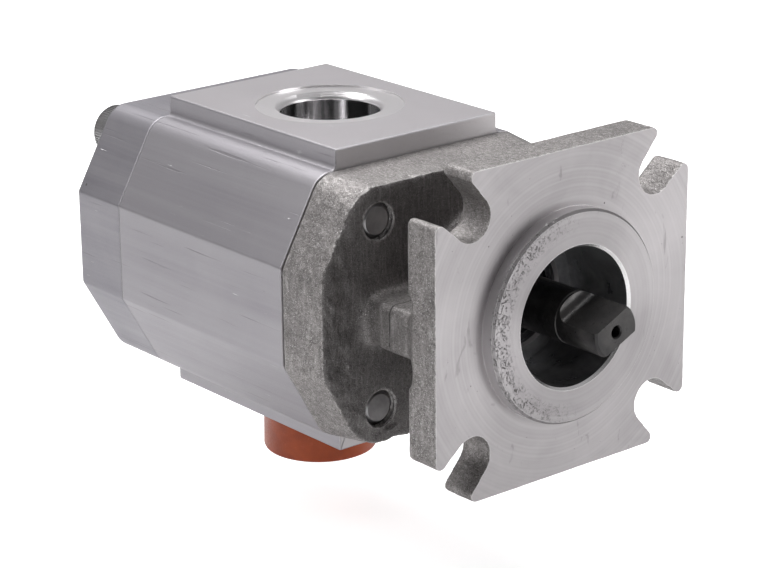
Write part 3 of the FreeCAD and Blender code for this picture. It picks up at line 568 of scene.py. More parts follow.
def mould_plug():
    """Head and hollow stem in one closed skin."""
    profile = [(PLUG_BOTTOM + 0.5, 5), (PLUG_BOTTOM + 0.5, 17.5), (PLUG_BOTTOM, 19.0),
               (PLUG_BOTTOM, 22.0), (PLUG_BOTTOM + 0.4, 22.8), (PLUG_BOTTOM + 1.3, 23.2),
               (PLUG_HEAD_TOP - 2.2, 22.9), (PLUG_HEAD_TOP - 1.8, 23.2),
               (PLUG_HEAD_TOP - 0.3, 23.2), (PLUG_HEAD_TOP, 22.9), (PLUG_HEAD_TOP, 19.6),
               (PLUG_HEAD_TOP + 1.2, 18.9), (PLUG_TOP - 1.2, 18.7), (PLUG_TOP, 17.6),
               (PLUG_TOP, 16.9), (PLUG_TOP - 0.4, 16.4), (PLUG_HEAD_TOP - 10, 16.2),
               (PLUG_HEAD_TOP - 11.5, 15.0), (PLUG_HEAD_TOP - 11.5, 5)]
    return upright(turned("transport_plug", profile, 96), LOWER_PORT_X, BODY_CENTRE_Y)


plug = mould_plug()
smooth(plug, 40)
print("plug", triangles(plug), "triangles")

# %% [markdown]
# ## Materials
# Each finish is a small tree of nodes. Noise in object coordinates gives it grain, dirt
# and wear, and the same patterns drive the colour, the roughness and the bump, because on
# the real part one scratch changes all three.

# %% Helpers: node trees
class Finish:
    """A material with its node tree, and short ways to add to it."""

    def __init__(self, name):
        found = bpy.data.materials.get(name)
        self.material = found or bpy.data.materials.new(name)
        self.material.use_nodes = True
        self.tree = self.material.node_tree
        self.shader = self.tree.nodes["Principled BSDF"]
        self.where = self.put("TexCoord").outputs["Object"]

    def put(self, kind, sockets=(), **settings):
        """Add a node. sockets maps inputs to numbers or to other nodes' outputs."""
        made = self.tree.nodes.new("ShaderNode" + kind)
        for key, value in settings.items():
            setattr(made, key, value)
        for key, value in dict(sockets).items():
            if isinstance(value, bpy.types.NodeSocket):
                self.tree.links.new(value, made.inputs[key])
            else:
                made.inputs[key].default_value = value
        return made

    def scaled(self, scale, shift=(0, 0, 0), turn=(0, 0, 0)):
        """Object coordinates in millimetres, stretched by scale and turned in degrees."""
        sizes = [s * 1000 for s in scale]
        turns = [math.radians(a) for a in turn]
        return self.put("Mapping", {"Vector": self.where, "Scale": sizes, "Location": shift,
                                    "Rotation": turns}).outputs[0]

    def noise(self, scale, detail=3, rough=0.55, warp=0.0, shift=(0, 0, 0), turn=(0, 0, 0)):
        """Noise whose scale is in cycles per millimetre, one number or one per axis."""
        scale = (scale,) * 3 if isinstance(scale, (int, float)) else scale
        return self.put("TexNoise", {"Vector": self.scaled(scale, shift, turn), "Scale": 1.0,
                                     "Detail": detail, "Roughness": rough,
                                     "Distortion": warp}).outputs["Fac"]

    def spots(self, spacing, size, share, shift=(0, 0, 0)):
        """Round spots: their spacing and radius in mm, and the share of cells with one."""
        cell = self.put("TexVoronoi", {"Vector": self.scaled((1 / spacing,) * 3, shift),
                                       "Scale": 1.0})
        inside = self.ramp(cell.outputs["Distance"], 0.7 * size / spacing, size / spacing, 1, 0)
        red = self.put("SeparateColor", {"Color": cell.outputs["Color"]}).outputs["Red"]
        return self.calc("MULTIPLY", inside, self.ramp(red, 1 - share, 1.001 - share))

    def ramp(self, value, low, high, at_low=0.0, at_high=1.0):
        """Map a value from low..high to at_low..at_high, clamped."""
        return self.put("MapRange", {"Value": value, "From Min": low, "From Max": high,
                                     "To Min": at_low, "To Max": at_high},
                        clamp=True).outputs[0]

    def calc(self, operation, a, b=0.0):
        """One step of arithmetic on numbers or sockets."""
        return self.put("Math", {0: a, 1: b}, operation=operation).outputs[0]

    def mix(self, share, a, b):
        """Blend two numbers."""
        return self.put("Mix", {"Factor": share, "A": a, "B": b}).outputs["Result"]

    def tint(self, share, a, b):
        """Blend two colours."""
        a, b = (c if isinstance(c, bpy.types.NodeSocket) else (*c, 1.0) for c in (a, b))
        return self.put("Mix", {"Factor": share, 6: a, 7: b}, data_type="RGBA").outputs[2]

    def facing(self, axis):
        """How squarely the surface faces along an axis, whichever way, from 0 to 1."""
        normal = self.put("NewGeometry").outputs["True Normal"]
        part = self.put("SeparateXYZ", {0: normal}).outputs[axis]
        return self.calc("ABSOLUTE", part)

    def along(self, axis):
        """The place along an axis, in millimetres."""
        return self.calc("MULTIPLY", self.put("SeparateXYZ", {0: self.where}).outputs[axis], 1000)

    def edges(self, radius):
        """1 on sharp edges within a radius in mm, and 0 on flat faces."""
        rounded = self.put("Bevel", {"Radius": radius * MM}, samples=4).outputs[0]
        normal = self.put("NewGeometry").outputs["Normal"]
        same = self.put("VectorMath", {0: rounded, 1: normal}, operation="DOT_PRODUCT")
        return self.ramp(same.outputs["Value"], 0.995, 0.80)

    def bump(self, height, depth, below=None):
        """Bump of a depth in mm, on top of an earlier bump."""
        sockets = {"Height": height, "Distance": depth * MM, "Strength": 1.0}
        if below:
            sockets["Normal"] = below
        return self.put("Bump", sockets).outputs[0]

    def finish(self, colour, roughness, normal, **fixed):
        """Wire the results to the shader; fixed values go on its own sockets."""
        for key, value in (("Base Color", colour), ("Roughness", roughness),
                           ("Normal", normal)):
            if isinstance(value, bpy.types.NodeSocket):
                self.tree.links.new(value, self.shader.inputs[key])
            else:
                self.shader.inputs[key].default_value = value
        for key, value in fixed.items():
            self.shader.inputs[key.replace("_", " ").title()].default_value = value
        return self.material


# %% [markdown]
# ### Extruded aluminium
# The body is a length of extrusion and the rear cover is sawn from the same bar, so both
# carry faint die lines along X, a few handling scratches and dark pinholes. The two port
# pads are milled, which leaves them lighter and smoother.

# %% Paint: extruded aluminium
PORT_FLOOR_Z, RINGS_PER_MM = 20, 1.4
# The port walls are painted with reflection bands, from a near-black tone to the light scratch
# tone.
ALUMINIUM = {
    "streak": (0.44, 0.425, 0.45), "cloud": (0.42, 0.405, 0.425),
    "die_line": (0.20, 0.19, 0.20), "milled": (0.50, 0.48, 0.495),
    "milled_light": (0.58, 0.555, 0.575), "sawn": (0.60, 0.575, 0.58),
    "bored": (0.84, 0.82, 0.83), "painted_reflection_dark": (0.10, 0.098, 0.10),
    "scratch_and_reflection": (0.90, 0.89, 0.90), "scuff": (0.60, 0.59, 0.60),
    "worn_edge": (0.80, 0.79, 0.80), "pinhole": (0.12, 0.115, 0.115),
}


def port_distance(f):
    """Distance in mm from the nearest port's axis."""
    upper = f.ramp(f.along("Z"), -0.1, 0.1)
    axis_x = f.mix(upper, LOWER_PORT_X, TOP_PORT_X)
    x = f.calc("SUBTRACT", f.along("X"), axis_x)
    y = f.calc("SUBTRACT", f.along("Y"), BODY_CENTRE_Y)
    return f.calc("SQRT", f.calc("ADD", f.calc("MULTIPLY", x, x), f.calc("MULTIPLY", y, y)))


def extruded_aluminium(name, shift, dark, light):
    """Die-drawn sides, sawn ends, milled pads, turned spotfaces, and port walls with painted
    reflection bands.
    """
    f = Finish(name)
    bands = f.noise((0.003, 0.09, 0.09), 3, 0.55, 0.2, shift)
    streaks = f.noise((0.010, 0.55, 0.55), 4, 0.6, shift=shift)
    drags = f.noise((0.016, 1.5, 1.5), 3, 0.6, shift=shift)
    clouds = f.noise(0.022, 3, 0.6, 0.4, shift)
    grain = f.noise(2.6, 3, 0.6, shift=shift)
    dark_lines = f.ramp(f.noise((0.018, 0.8, 0.8), 2, 0.5, 0.0, (9, 5, 1)), 0.665, 0.72)
    bright_lines = f.ramp(f.noise((0.06, 1.2, 1.2), 2, 0.5, 0.0, (3, 2, 8)), 0.765, 0.79)
    scuffs = f.noise((0.05, 1.6, 0.35), 4, 0.65, 0.6, shift, (0, 12, 24))
    scuffs = f.ramp(scuffs, 0.69, 0.75)
    nicks = f.spots(19, 0.7, 0.20, shift)
    pits = f.spots(7.5, 0.2, 0.12, shift)
    holes = f.calc("MAXIMUM", nicks, pits)
    radius = port_distance(f)
    high = f.calc("ABSOLUTE", f.along("Z"))
    sawn = f.ramp(f.facing("X"), 0.9, 0.97)
    milled = f.calc("MULTIPLY", f.ramp(high, PAD_Z - 1.3, PAD_Z - 1.2),
                    f.ramp(f.facing("Z"), 0.9, 0.97))
    bored = f.calc("MULTIPLY", f.ramp(radius, SPOTFACE_RADIUS + 0.1, SPOTFACE_RADIUS),
                   f.ramp(high, PORT_FLOOR_Z, PORT_FLOOR_Z + 0.5))
    mirror = f.calc("MULTIPLY", f.ramp(radius, PORT_RADIUS + 0.3, PORT_RADIUS + 0.1),
                    f.ramp(high, PORT_FLOOR_Z, PORT_FLOOR_Z + 0.5))
    rings = f.calc("FRACT", f.calc("MULTIPLY", radius, RINGS_PER_MM))
    swirl = f.put("TexWave", {"Vector": f.scaled((1, 1, 0.0), (0, 60, 0)), "Scale": 0.3,
                              "Distortion": 1.2, "Detail": 2.0, "Detail Scale": 0.6},
                  wave_type="RINGS", rings_direction="Z").outputs["Fac"]
    wear = f.edges(0.5)
    x = f.calc("SUBTRACT", f.along("X"), TOP_PORT_X)
    y = f.calc("SUBTRACT", f.along("Y"), BODY_CENTRE_Y)
    # Painted reflection: light and dark bands round the port wall, by the angle about the upper
    # port's axis.
    painted_reflection_bands = f.put("TexNoise", {"W": f.calc("ARCTAN2", x, y), "Scale": 1.5, "Detail": 2.0,
                                "Roughness": 0.6}, noise_dimensions="1D").outputs["Fac"]
    base = f.tint(f.ramp(bands, 0.30, 0.70), dark, light)
    base = f.tint(f.ramp(streaks, 0.45, 0.75, 0, 0.22), base, ALUMINIUM["streak"])
    base = f.tint(f.ramp(clouds, 0.40, 0.7, 0, 0.35), base, ALUMINIUM["cloud"])
    base = f.tint(f.calc("MULTIPLY", dark_lines, 0.40), base, ALUMINIUM["die_line"])
    pad_tone = f.tint(clouds, ALUMINIUM["milled"], ALUMINIUM["milled_light"])
    base = f.tint(milled, base, pad_tone)
    base = f.tint(f.calc("MULTIPLY", sawn, 0.8), base, ALUMINIUM["sawn"])
    base = f.tint(bored, base, ALUMINIUM["bored"])
    painted_reflection_tone = f.tint(f.ramp(painted_reflection_bands, 0.44, 0.52), ALUMINIUM["painted_reflection_dark"],
                       ALUMINIUM["scratch_and_reflection"])
    base = f.tint(mirror, base, painted_reflection_tone)
    base = f.tint(f.calc("MULTIPLY", scuffs, 0.35), base, ALUMINIUM["scuff"])
    base = f.tint(f.calc("MULTIPLY", bright_lines, 0.75), base, ALUMINIUM["scratch_and_reflection"])
    base = f.tint(f.calc("MULTIPLY", wear, 0.6), base, ALUMINIUM["worn_edge"])
    base = f.tint(f.calc("MULTIPLY", holes, 0.75), base, ALUMINIUM["pinhole"])
    rough = f.mix(f.ramp(grain, 0.3, 0.7), 0.42, 0.54)
    rough = f.mix(milled, rough, 0.42)
    rough = f.mix(bored, rough, 0.32)
    rough = f.mix(mirror, rough, 0.12)
    rough = f.mix(scuffs, rough, 0.30)
    height = f.calc("ADD", f.calc("MULTIPLY", drags, 0.35), f.calc("MULTIPLY", streaks, 0.5))
    height = f.mix(milled, height, f.calc("MULTIPLY", swirl, 0.3))
    height = f.mix(bored, height, f.calc("MULTIPLY", rings, 0.25))
    normal = f.bump(height, 0.035)
    outside = f.calc("SUBTRACT", 1.0, mirror)
    normal = f.bump(f.calc("MULTIPLY", grain, outside), 0.010, normal)
    lines = f.calc("SUBTRACT", bright_lines, f.calc("ADD", holes, dark_lines))
    normal = f.bump(f.calc("MULTIPLY", lines, outside), 0.07, normal)
    return f.finish(base, rough, normal, metallic=0.92)


# %% [markdown]
# ### Cast skin and machined iron
# The front cover has two finishes. Its skin is what the sand left: grey, grainy and
# speckled. Where a tool has been it is light and smooth, with turning rings round the
# shaft axis, open pores of the casting and a few smudges.

# %% Paint: cast skin
PARTING_X, FRONT_SHADE, JOINT_SHADE_BAND = -28.6, (-40, -41), (-63.4, -63.9)
# The front and rear-band tones are painted shade, on the plate's front face and along its joint
# with the body.
CAST_IRON = {
    "sand_dark": (0.15, 0.141, 0.138), "sand_light": (0.33, 0.312, 0.306),
    "lump": (0.35, 0.33, 0.325), "stain": (0.15, 0.141, 0.14),
    "brushed": (0.48, 0.46, 0.45), "glint": (0.80, 0.78, 0.78),
    "grit": (0.05, 0.048, 0.047), "front": (0.08, 0.076, 0.075),
    "painted_joint_shade": (0.09, 0.084, 0.082), "worn_edge": (0.78, 0.76, 0.75),
    "crack": (0.03, 0.028, 0.027),
}


def cast_skin():
    """Sand-cast grey iron: speckled and stained, with a parting line, painted shade on the
    plate's front face and along its joint with the body.
    """
    f = Finish("cast_skin")
    lumps = f.noise(0.16, 4, 0.6, 0.5)
    sand = f.noise(1.0, 4, 0.65, 0.2)
    grit = f.noise(3.0, 2, 0.5)
    stain = f.noise(0.045, 3, 0.6, 0.8)
    brushed = f.noise((0.35, 0.9, 0.10), 4, 0.6)
    cracks = f.ramp(f.calc("ABSOLUTE", f.calc("SUBTRACT", f.noise(0.11, 2, 0.5, 0.8), 0.5)),
                    0.0, 0.006, 1, 0)
    cracks = f.calc("MULTIPLY", cracks, f.ramp(f.noise(0.05, 2, 0.5), 0.54, 0.62))
    parting = f.calc("ABSOLUTE", f.calc("SUBTRACT", f.along("X"), PARTING_X))
    parting = f.calc("MULTIPLY", f.ramp(parting, 0.15, 0.45, 1, 0),
                     f.ramp(f.noise(0.25, 2, 0.5), 0.36, 0.48))
    dark_marks = f.calc("MAXIMUM", cracks, parting)
    wear = f.calc("MULTIPLY", f.edges(1.5), f.ramp(f.noise(0.5, 3, 0.6), 0.36, 0.56))
    # Painted shade on the plate's front face, which lies under the flange.
    front = f.calc("MULTIPLY", f.ramp(f.facing("X"), 0.5, 0.8),
                   f.ramp(f.along("X"), *FRONT_SHADE))
    # Painted shade along the plate's rear edge, at the joint with the body, with a wavy border.
    wavy_x = f.calc("ADD", f.along("X"), f.calc("MULTIPLY", lumps, 1.2))
    painted_joint_shade = f.ramp(wavy_x, *JOINT_SHADE_BAND)
    base = f.tint(f.ramp(sand, 0.32, 0.70), CAST_IRON["sand_dark"], CAST_IRON["sand_light"])
    base = f.tint(f.ramp(lumps, 0.40, 0.72, 0, 0.45), base, CAST_IRON["lump"])
    base = f.tint(f.ramp(stain, 0.46, 0.66, 0, 0.55), base, CAST_IRON["stain"])
    base = f.tint(f.ramp(brushed, 0.50, 0.68, 0, 0.55), base, CAST_IRON["brushed"])
    base = f.tint(f.ramp(grit, 0.61, 0.70, 0, 0.85), base, CAST_IRON["glint"])
    base = f.tint(f.ramp(grit, 0.40, 0.32, 0, 0.75), base, CAST_IRON["grit"])
    # Painted shade on the plate's front face.
    base = f.tint(f.calc("MULTIPLY", front, 0.45), base, CAST_IRON["front"])
    base = f.tint(f.calc("MULTIPLY", painted_joint_shade, 0.6), base, CAST_IRON["painted_joint_shade"])
    base = f.tint(f.calc("MULTIPLY", wear, 0.75), base, CAST_IRON["worn_edge"])
    base = f.tint(f.calc("MULTIPLY", dark_marks, 0.8), base, CAST_IRON["crack"])
    rough = f.mix(f.ramp(sand, 0.35, 0.65), 0.60, 0.42)
    normal = f.bump(lumps, 0.40)
    normal = f.bump(sand, 0.26, normal)
    normal = f.bump(grit, 0.09, normal)
    normal = f.bump(f.calc("SUBTRACT", 1.0, dark_marks), 0.15, normal)
    return f.finish(base, rough, normal, metallic=0.8)


# %% Paint: machined iron
RIM_FROM, SMEARS_FROM = (32, 36), (26, 42)
SLOT_WALL_FROM, CHAMFER_HIGHLIGHT_IN = (43, 44), (28.1, 28.0)
RING_RATE = 4.2
# The pilot-wall and bore-edge tones are painted highlights, on the pilot's round wall and on the
# chamfer at the bore's mouth.
MACHINED_IRON = {
    "dark": (0.36, 0.343, 0.350), "light": (0.45, 0.430, 0.438),
    "slot_wall": (0.20, 0.19, 0.192), "ring": (0.66, 0.64, 0.65),
    "band": (0.64, 0.62, 0.63), "grain": (0.38, 0.365, 0.37), "smear": (0.22, 0.21, 0.21),
    "pilot_rim": (0.13, 0.125, 0.128), "painted_pilot_highlight": (0.85, 0.83, 0.84),
    "painted_chamfer_highlight": (0.92, 0.91, 0.91), "pore": (0.10, 0.095, 0.09),
    "worn_edge": (0.88, 0.87, 0.87),
}


def machined_face():
    """Turned grey iron: rings round the shaft axis, open pores and a few smudges, with painted
    highlights on the pilot's round wall and the bore's mouth chamfer.
    """
    f = Finish("machined_face")
    place = f.put("SeparateXYZ", {0: f.where})
    y, z = place.outputs["Y"], place.outputs["Z"]
    round_shaft = f.put("CombineXYZ", {"X": 0.0, "Y": f.calc("MULTIPLY", z, -1.0), "Z": y})
    round_shaft = f.put("VectorMath", {0: round_shaft.outputs[0]}, operation="NORMALIZE")
    radius = f.calc("MULTIPLY", f.calc("SQRT", f.calc("ADD", f.calc("MULTIPLY", y, y),
                                                       f.calc("MULTIPLY", z, z))), 1000)
    tool_wander = f.calc("MULTIPLY", f.noise(0.05, 2, 0.5), 1.5)
    rings = f.calc("SINE", f.calc("MULTIPLY", f.calc("ADD", radius, tool_wander), RING_RATE))
    rings = f.ramp(rings, -1, 1)
    bands = f.put("TexNoise", {"W": f.calc("MULTIPLY", radius, 0.35), "Detail": 3.0,
                               "Scale": 1.0}, noise_dimensions="1D").outputs["Fac"]
    clouds = f.noise(0.03, 3, 0.6, 0.5)
    grain = f.noise(2.2, 3, 0.6)
    pores = f.calc("MAXIMUM", f.spots(3.6, 0.19, 0.12), f.spots(15, 0.55, 0.25))
    rim = f.calc("MULTIPLY", f.ramp(radius, *RIM_FROM), f.ramp(f.along("X"), 4.0, 4.6))
    left = f.ramp(y, 0.004, -0.022)
    patches = f.ramp(f.noise(0.06, 3, 0.6, 0.6, (3.7, 0, 0)), 0.68, 0.76)
    patches = f.calc("MAXIMUM", f.calc("MULTIPLY", patches, 0.5),
                     f.calc("MULTIPLY", rim, left))
    worms = f.ramp(f.noise(0.62, 4, 0.7, 1.2), 0.52, 0.62)
    smears = f.calc("MULTIPLY", f.ramp(f.noise((0.1, 0.16, 0.07), 3, 0.6, 1.0, (7, 2, 5)),
                                       0.66, 0.74), f.ramp(radius, *SMEARS_FROM))
    holes = f.calc("MAXIMUM", pores, f.calc("MULTIPLY", patches, worms))
    wear = f.edges(0.45)
    wall = f.ramp(f.facing("X"), 0.5, 0.2)
    ring = f.ramp(f.along("X"), 4.8, 5.2)
    base = f.tint(f.ramp(clouds, 0.35, 0.7), MACHINED_IRON["dark"], MACHINED_IRON["light"])
    slot_wall = f.calc("MULTIPLY", wall, f.ramp(radius, *SLOT_WALL_FROM))
    # Painted highlight: the pilot's round wall is much lighter than its face.
    painted_pilot_highlight = f.calc("SUBTRACT", wall, slot_wall)
    # Painted highlight on the chamfer at the bore's mouth; its roughness is also lowered.
    painted_chamfer_highlight = f.calc("MULTIPLY", f.ramp(radius, *CHAMFER_HIGHLIGHT_IN),
                       f.ramp(f.along("X"), 4.9, 5.0))
    base = f.tint(f.calc("MULTIPLY", slot_wall, 0.8), base, MACHINED_IRON["slot_wall"])
    base = f.tint(f.ramp(rings, 0.2, 0.8, 0, 0.04), base, MACHINED_IRON["ring"])
    base = f.tint(f.ramp(bands, 0.45, 0.7, 0, 0.14), base, MACHINED_IRON["band"])
    base = f.tint(f.ramp(grain, 0.55, 0.72, 0, 0.25), base, MACHINED_IRON["grain"])
    base = f.tint(f.calc("MULTIPLY", smears, 0.5), base, MACHINED_IRON["smear"])
    base = f.tint(f.calc("MULTIPLY", ring, 0.10), base, MACHINED_IRON["pilot_rim"])
    base = f.tint(f.calc("MULTIPLY", painted_pilot_highlight, 0.8), base, MACHINED_IRON["painted_pilot_highlight"])
    base = f.tint(painted_chamfer_highlight, base, MACHINED_IRON["painted_chamfer_highlight"])
    base = f.tint(f.calc("MULTIPLY", holes, 0.75), base, MACHINED_IRON["pore"])
    base = f.tint(f.calc("MULTIPLY", wear, 0.8), base, MACHINED_IRON["worn_edge"])
    rough = f.mix(f.ramp(clouds, 0.35, 0.7), 0.40, 0.50)
    rough = f.mix(painted_chamfer_highlight, rough, 0.25)
    rough = f.mix(holes, rough, 0.6)
    rough = f.mix(wear, rough, 0.2)
    height = f.calc("ADD", rings, f.calc("ADD", f.calc("MULTIPLY", grain, 0.5), bands))
    normal = f.bump(height, 0.006)
    normal = f.bump(f.calc("SUBTRACT", 1.0, holes), 0.12, normal)
    f.tree.links.new(round_shaft.outputs[0], f.shader.inputs["Tangent"])
    return f.finish(base, rough, normal, metallic=0.95, anisotropic=0.55)


# %% Paint: dark bore
def dark_bore():
    """Dark boring inside the coupling space, with turning marks."""
    f = Finish("dark_bore")
    marks = f.noise((2.4, 0.1, 0.1), 3, 0.6)
    smudge = f.noise(0.09, 4, 0.6, 0.8)
    base = f.tint(f.ramp(smudge, 0.35, 0.7), (0.16, 0.16, 0.166), (0.32, 0.32, 0.33))
    base = f.tint(f.ramp(marks, 0.55, 0.75, 0, 0.3), base, (0.42, 0.42, 0.43))
    rough = f.mix(f.ramp(smudge, 0.3, 0.7), 0.24, 0.40)
    return f.finish(base, rough, f.bump(marks, 0.02), metallic=0.7)


# %% [markdown]
# ### Steels
# The shafts are hardened and blackened, the screws plated, and the small parts of the
# seal ground or plated bright. They share one recipe with different colours.

# %% Paint: steels, bronze and the other small finishes
TURNING_GRAIN = (3.0, 0.75, 0.75)


def metal(name, dark, light, rough_low, rough_high, worn, wear=0.5, metallic=1.0):
    """Metal with fine turning grain, cloudy tone and lighter edges."""
    f = Finish(name)
    clouds = f.noise(0.12, 3, 0.6, 0.3)
    fine = f.noise(TURNING_GRAIN, 3, 0.55)
    specks = f.spots(2.6, 0.13, 0.15)
    base = f.tint(f.ramp(clouds, 0.35, 0.7), dark, light)
    base = f.tint(f.ramp(fine, 0.5, 0.75, 0, 0.35), base, worn)
    base = f.tint(f.calc("MULTIPLY", f.edges(0.35), wear), base, worn)
    base = f.tint(f.calc("MULTIPLY", specks, 0.5), base, dark)
    rough = f.mix(f.ramp(fine, 0.3, 0.7), rough_low, rough_high)
    normal = f.bump(fine, 0.02)
    normal = f.bump(clouds, 0.05, normal)
    return f.finish(base, rough, normal, metallic=metallic)


def soft_plastic(name, dark, light, roughness):
    """Moulded plastic: slightly uneven colour, fine orange peel and dusty patches."""
    f = Finish(name)
    clouds = f.noise(0.07, 3, 0.6, 0.6)
    peel = f.noise(1.4, 2, 0.5)
    dust = f.ramp(f.noise(0.5, 4, 0.7), 0.58, 0.75, 0, 0.25)
    base = f.tint(f.ramp(clouds, 0.35, 0.7), dark, light)
    base = f.tint(dust, base, [min(1.0, c * 1.5 + 0.04) for c in light])
    rough = f.mix(f.ramp(peel, 0.3, 0.7), roughness - 0.05, roughness + 0.08)
    return f.finish(base, rough, f.bump(peel, 0.03))


FINISHES = {
    "body": extruded_aluminium("extruded_aluminium", (0, 0, 0), (0.315, 0.302, 0.325),
                               (0.385, 0.372, 0.392)),
    "rear": extruded_aluminium("sawn_aluminium", (4.3, 7.7, 2.1), (0.255, 0.247, 0.272),
                               (0.325, 0.315, 0.338)),
    "bore": dark_bore(),
    "cast": cast_skin(),
    "cut": machined_face(),
    "shaft": metal("black_oxide_steel", (0.040, 0.039, 0.040), (0.075, 0.072, 0.071), 0.26,
                   0.40, (0.075, 0.072, 0.07), 0.5, metallic=0.8),
    "screw": metal("plated_steel", (0.32, 0.315, 0.32), (0.44, 0.43, 0.435), 0.28,
                   0.42, (0.50, 0.50, 0.50), 0.5),
    "circlip": metal("phosphated_steel", (0.035, 0.035, 0.038), (0.08, 0.08, 0.083), 0.30,
                     0.45, (0.34, 0.34, 0.34), 0.6),
    "bright": metal("bright_steel", (0.42, 0.42, 0.43), (0.58, 0.58, 0.59), 0.20, 0.32,
                    (0.75, 0.75, 0.76)),
    "bearing": metal("bearing_alloy", (0.48, 0.48, 0.50), (0.60, 0.60, 0.62), 0.34, 0.46,
                     (0.72, 0.72, 0.74)),
    "bronze": metal("bush_bronze", (0.42, 0.25, 0.12), (0.56, 0.36, 0.19), 0.30, 0.42,
                    (0.72, 0.52, 0.32)),
    "rubber": soft_plastic("black_rubber", (0.012, 0.012, 0.012), (0.022, 0.022, 0.022), 0.55),
    "nylon": soft_plastic("white_nylon", (0.66, 0.65, 0.60), (0.76, 0.75, 0.71), 0.42),
    "plug": soft_plastic("orange_plastic", (0.30, 0.043, 0.004), (0.41, 0.064, 0.007), 0.38),
}
print("finishes", sorted(FINISHES))

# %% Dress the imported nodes
FINISH_NODES = {
    "shaft": ("drive_gear_shaft", "driven_gear_shaft"),
    "bearing": ("front_bearing_block", "rear_bearing_block"),
    "bronze": ("drive_front_bush", "driven_front_bush", "drive_rear_bush", "driven_rear_bush"),
    "rubber": ("front_pressure_seal", "rear_pressure_seal", "front_body_seal",
               "rear_body_seal", "plug_seal_ring", "shaft_seal_lip"),
    "nylon": ("front_backup_ring", "rear_backup_ring"),
    "circlip": ("shaft_seal_case", "seal_retaining_ring"),
    "bright": ("shaft_seal_spring", "front_dowels", "rear_dowels"),
}


def dress(obj, *finishes):
    """Give an object its materials, one per material slot."""
    while len(obj.material_slots) < len(finishes):
        obj.data.materials.append(None)
    for place, finish in zip(obj.material_slots, finishes):
        place.material = FINISHES[finish]


for finish, nodes in FINISH_NODES.items():
    for node in nodes:
        dress(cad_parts[node], finish)
dress(casting, "cast", "cut", "bore")
dress(body, "body")
dress(rear_cover, "rear")
dress(plug, "plug")
for screw in screws:
    dress(screw, "screw")
print("dressed", sum(len(nodes) for nodes in FINISH_NODES.values()), "packed nodes")

# %% [markdown]
# ## Studio
# A plain pale table, a pale room and three large soft lights. Metal shows what it
# reflects, so the lights and the room make most of its tones. The table lies well below
# the pump, which leaves the plug room to come out.

# %% Table, room and lights
TABLE_Z, TABLE_METRES = -117.0, 12
SEEN_GLOW, CAST_GLOW = 0.65, 0.13
bpy.ops.object.select_all(action="DESELECT")
bpy.ops.mesh.primitive_plane_add(size=TABLE_METRES, location=(0, 0, TABLE_Z * MM))
table = named(bpy.context.object, "studio_table")
paper = Finish("table_paper")
fibres = paper.noise(0.5, 3, 0.6)
paper_tone = paper.tint(paper.ramp(fibres, 0.3, 0.7), (0.86, 0.86, 0.86), (0.90, 0.90, 0.90))
table.data.materials.append(paper.finish(paper_tone, 0.85, paper.bump(fibres, 0.02)))
paper.shader.inputs["Emission Color"].default_value = (1, 1, 1, 1)
seen = paper.put("LightPath").outputs["Is Camera Ray"]
glow = paper.mix(seen, CAST_GLOW, SEEN_GLOW)
paper.tree.links.new(glow, paper.shader.inputs["Emission Strength"])

print("table at", TABLE_Z)

# %% The room
ROOM_LIGHT, DARK_SIDE = 0.34, 0.25
DIM_FROM, DIM_TO = 0.35, 0.9


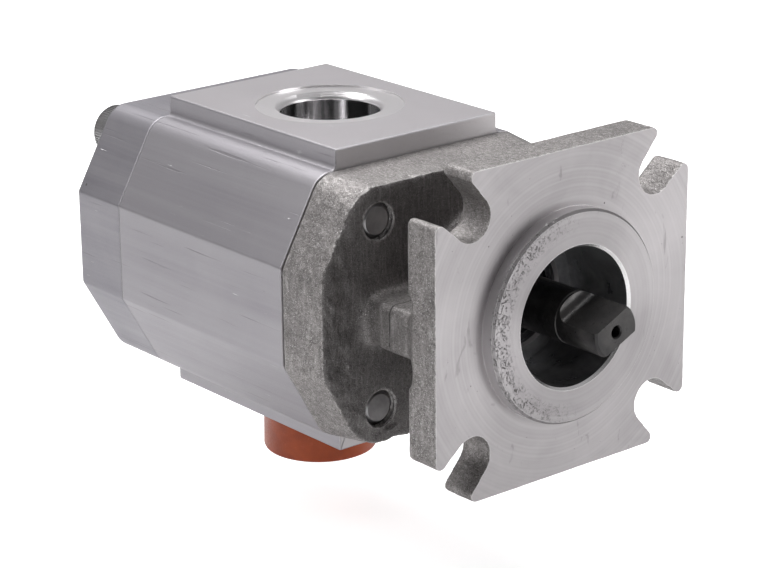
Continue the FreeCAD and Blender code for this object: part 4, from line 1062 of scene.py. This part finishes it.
def pale_room():
    """White to the eye, dimmer as a light, and darker behind the camera."""
    room = bpy.data.worlds.new("pale_room")
    room.use_nodes = True
    tree = room.node_tree

    def put(kind):
        return tree.nodes.new("ShaderNode" + kind)

    seen, lit = tree.nodes["Background"], put("Background")
    seen.inputs["Color"].default_value = (1, 1, 1, 1)
    way, towards, dim = put("TexCoord"), put("VectorMath"), put("MapRange")
    towards.operation = "DOT_PRODUCT"
    tree.links.new(way.outputs["Generated"], towards.inputs[0])
    towards.inputs[1].default_value = view_axes().col[2]
    for key, value in (("From Min", DIM_FROM), ("From Max", DIM_TO), ("To Min", ROOM_LIGHT),
                       ("To Max", ROOM_LIGHT * DARK_SIDE)):
        dim.inputs[key].default_value = value
    tree.links.new(towards.outputs["Value"], dim.inputs["Value"])
    tree.links.new(dim.outputs[0], lit.inputs["Strength"])
    lit.inputs["Color"].default_value = (1.0, 0.985, 1.0, 1)
    eye, both = put("LightPath"), put("MixShader")
    tree.links.new(eye.outputs["Is Camera Ray"], both.inputs[0])
    tree.links.new(lit.outputs[0], both.inputs[1])
    tree.links.new(seen.outputs[0], both.inputs[2])
    tree.links.new(both.outputs[0], tree.nodes["World Output"].inputs["Surface"])
    return room


bpy.context.scene.world = pale_room()
print("room light", ROOM_LIGHT)

# %% Soft lights: place in metres, size in metres, power in watts
LIGHTS = {
    "over_light": ((-0.5, 0.1, 1.25), 1.1, 18.5),
    "front_light": ((1.3, 0.8, 0.35), 0.9, 8.5),
    "side_light": ((-0.5, -1.1, 1.1), 0.7, 7),
}
MIDDLE = (-0.09, -0.01, 0.0)


def soft_light(name, place, size, watts):
    """A square area light at a place, aimed at the middle of the pump."""
    data = bpy.data.lights.new(name, "AREA")
    data.shape = "SQUARE"
    data.size = size
    data.energy = watts
    lamp = bpy.data.objects.new(name, data)
    bpy.context.scene.collection.objects.link(lamp)
    aim = (Vector(MIDDLE) - Vector(place)).to_track_quat("-Z", "Y")
    lamp.matrix_world = Matrix.Translation(place) @ aim.to_matrix().to_4x4()


for name, (place, size, watts) in LIGHTS.items():
    soft_light(name, place, size, watts)
bpy.context.scene.view_settings.view_transform = "Standard"
print("lights", sorted(LIGHTS))

# %% [markdown]
# ## Hang every piece on its body
# The casting, the filed body and rear cover, the screws and the plug replace their plain
# CAD nodes. All ride on the housing but the plug, which rides on its own body, so that it
# comes out downwards.

# %% Smooth, ride and replace
smooth(casting, 32)
for piece, mover, node, slot in [
        (casting, "housing", "front_cover", "cast_iron_cover"),
        (body, "housing", "pump_body", "extruded_aluminium"),
        (rear_cover, "housing", "rear_cover", "extruded_aluminium"),
        (plug, "transport_plug", "port_transport_plug", "orange_plastic")]:
    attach(piece, mover)
    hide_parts(node)
for screw in screws:
    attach(screw, "housing")
    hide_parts("through_bolts")
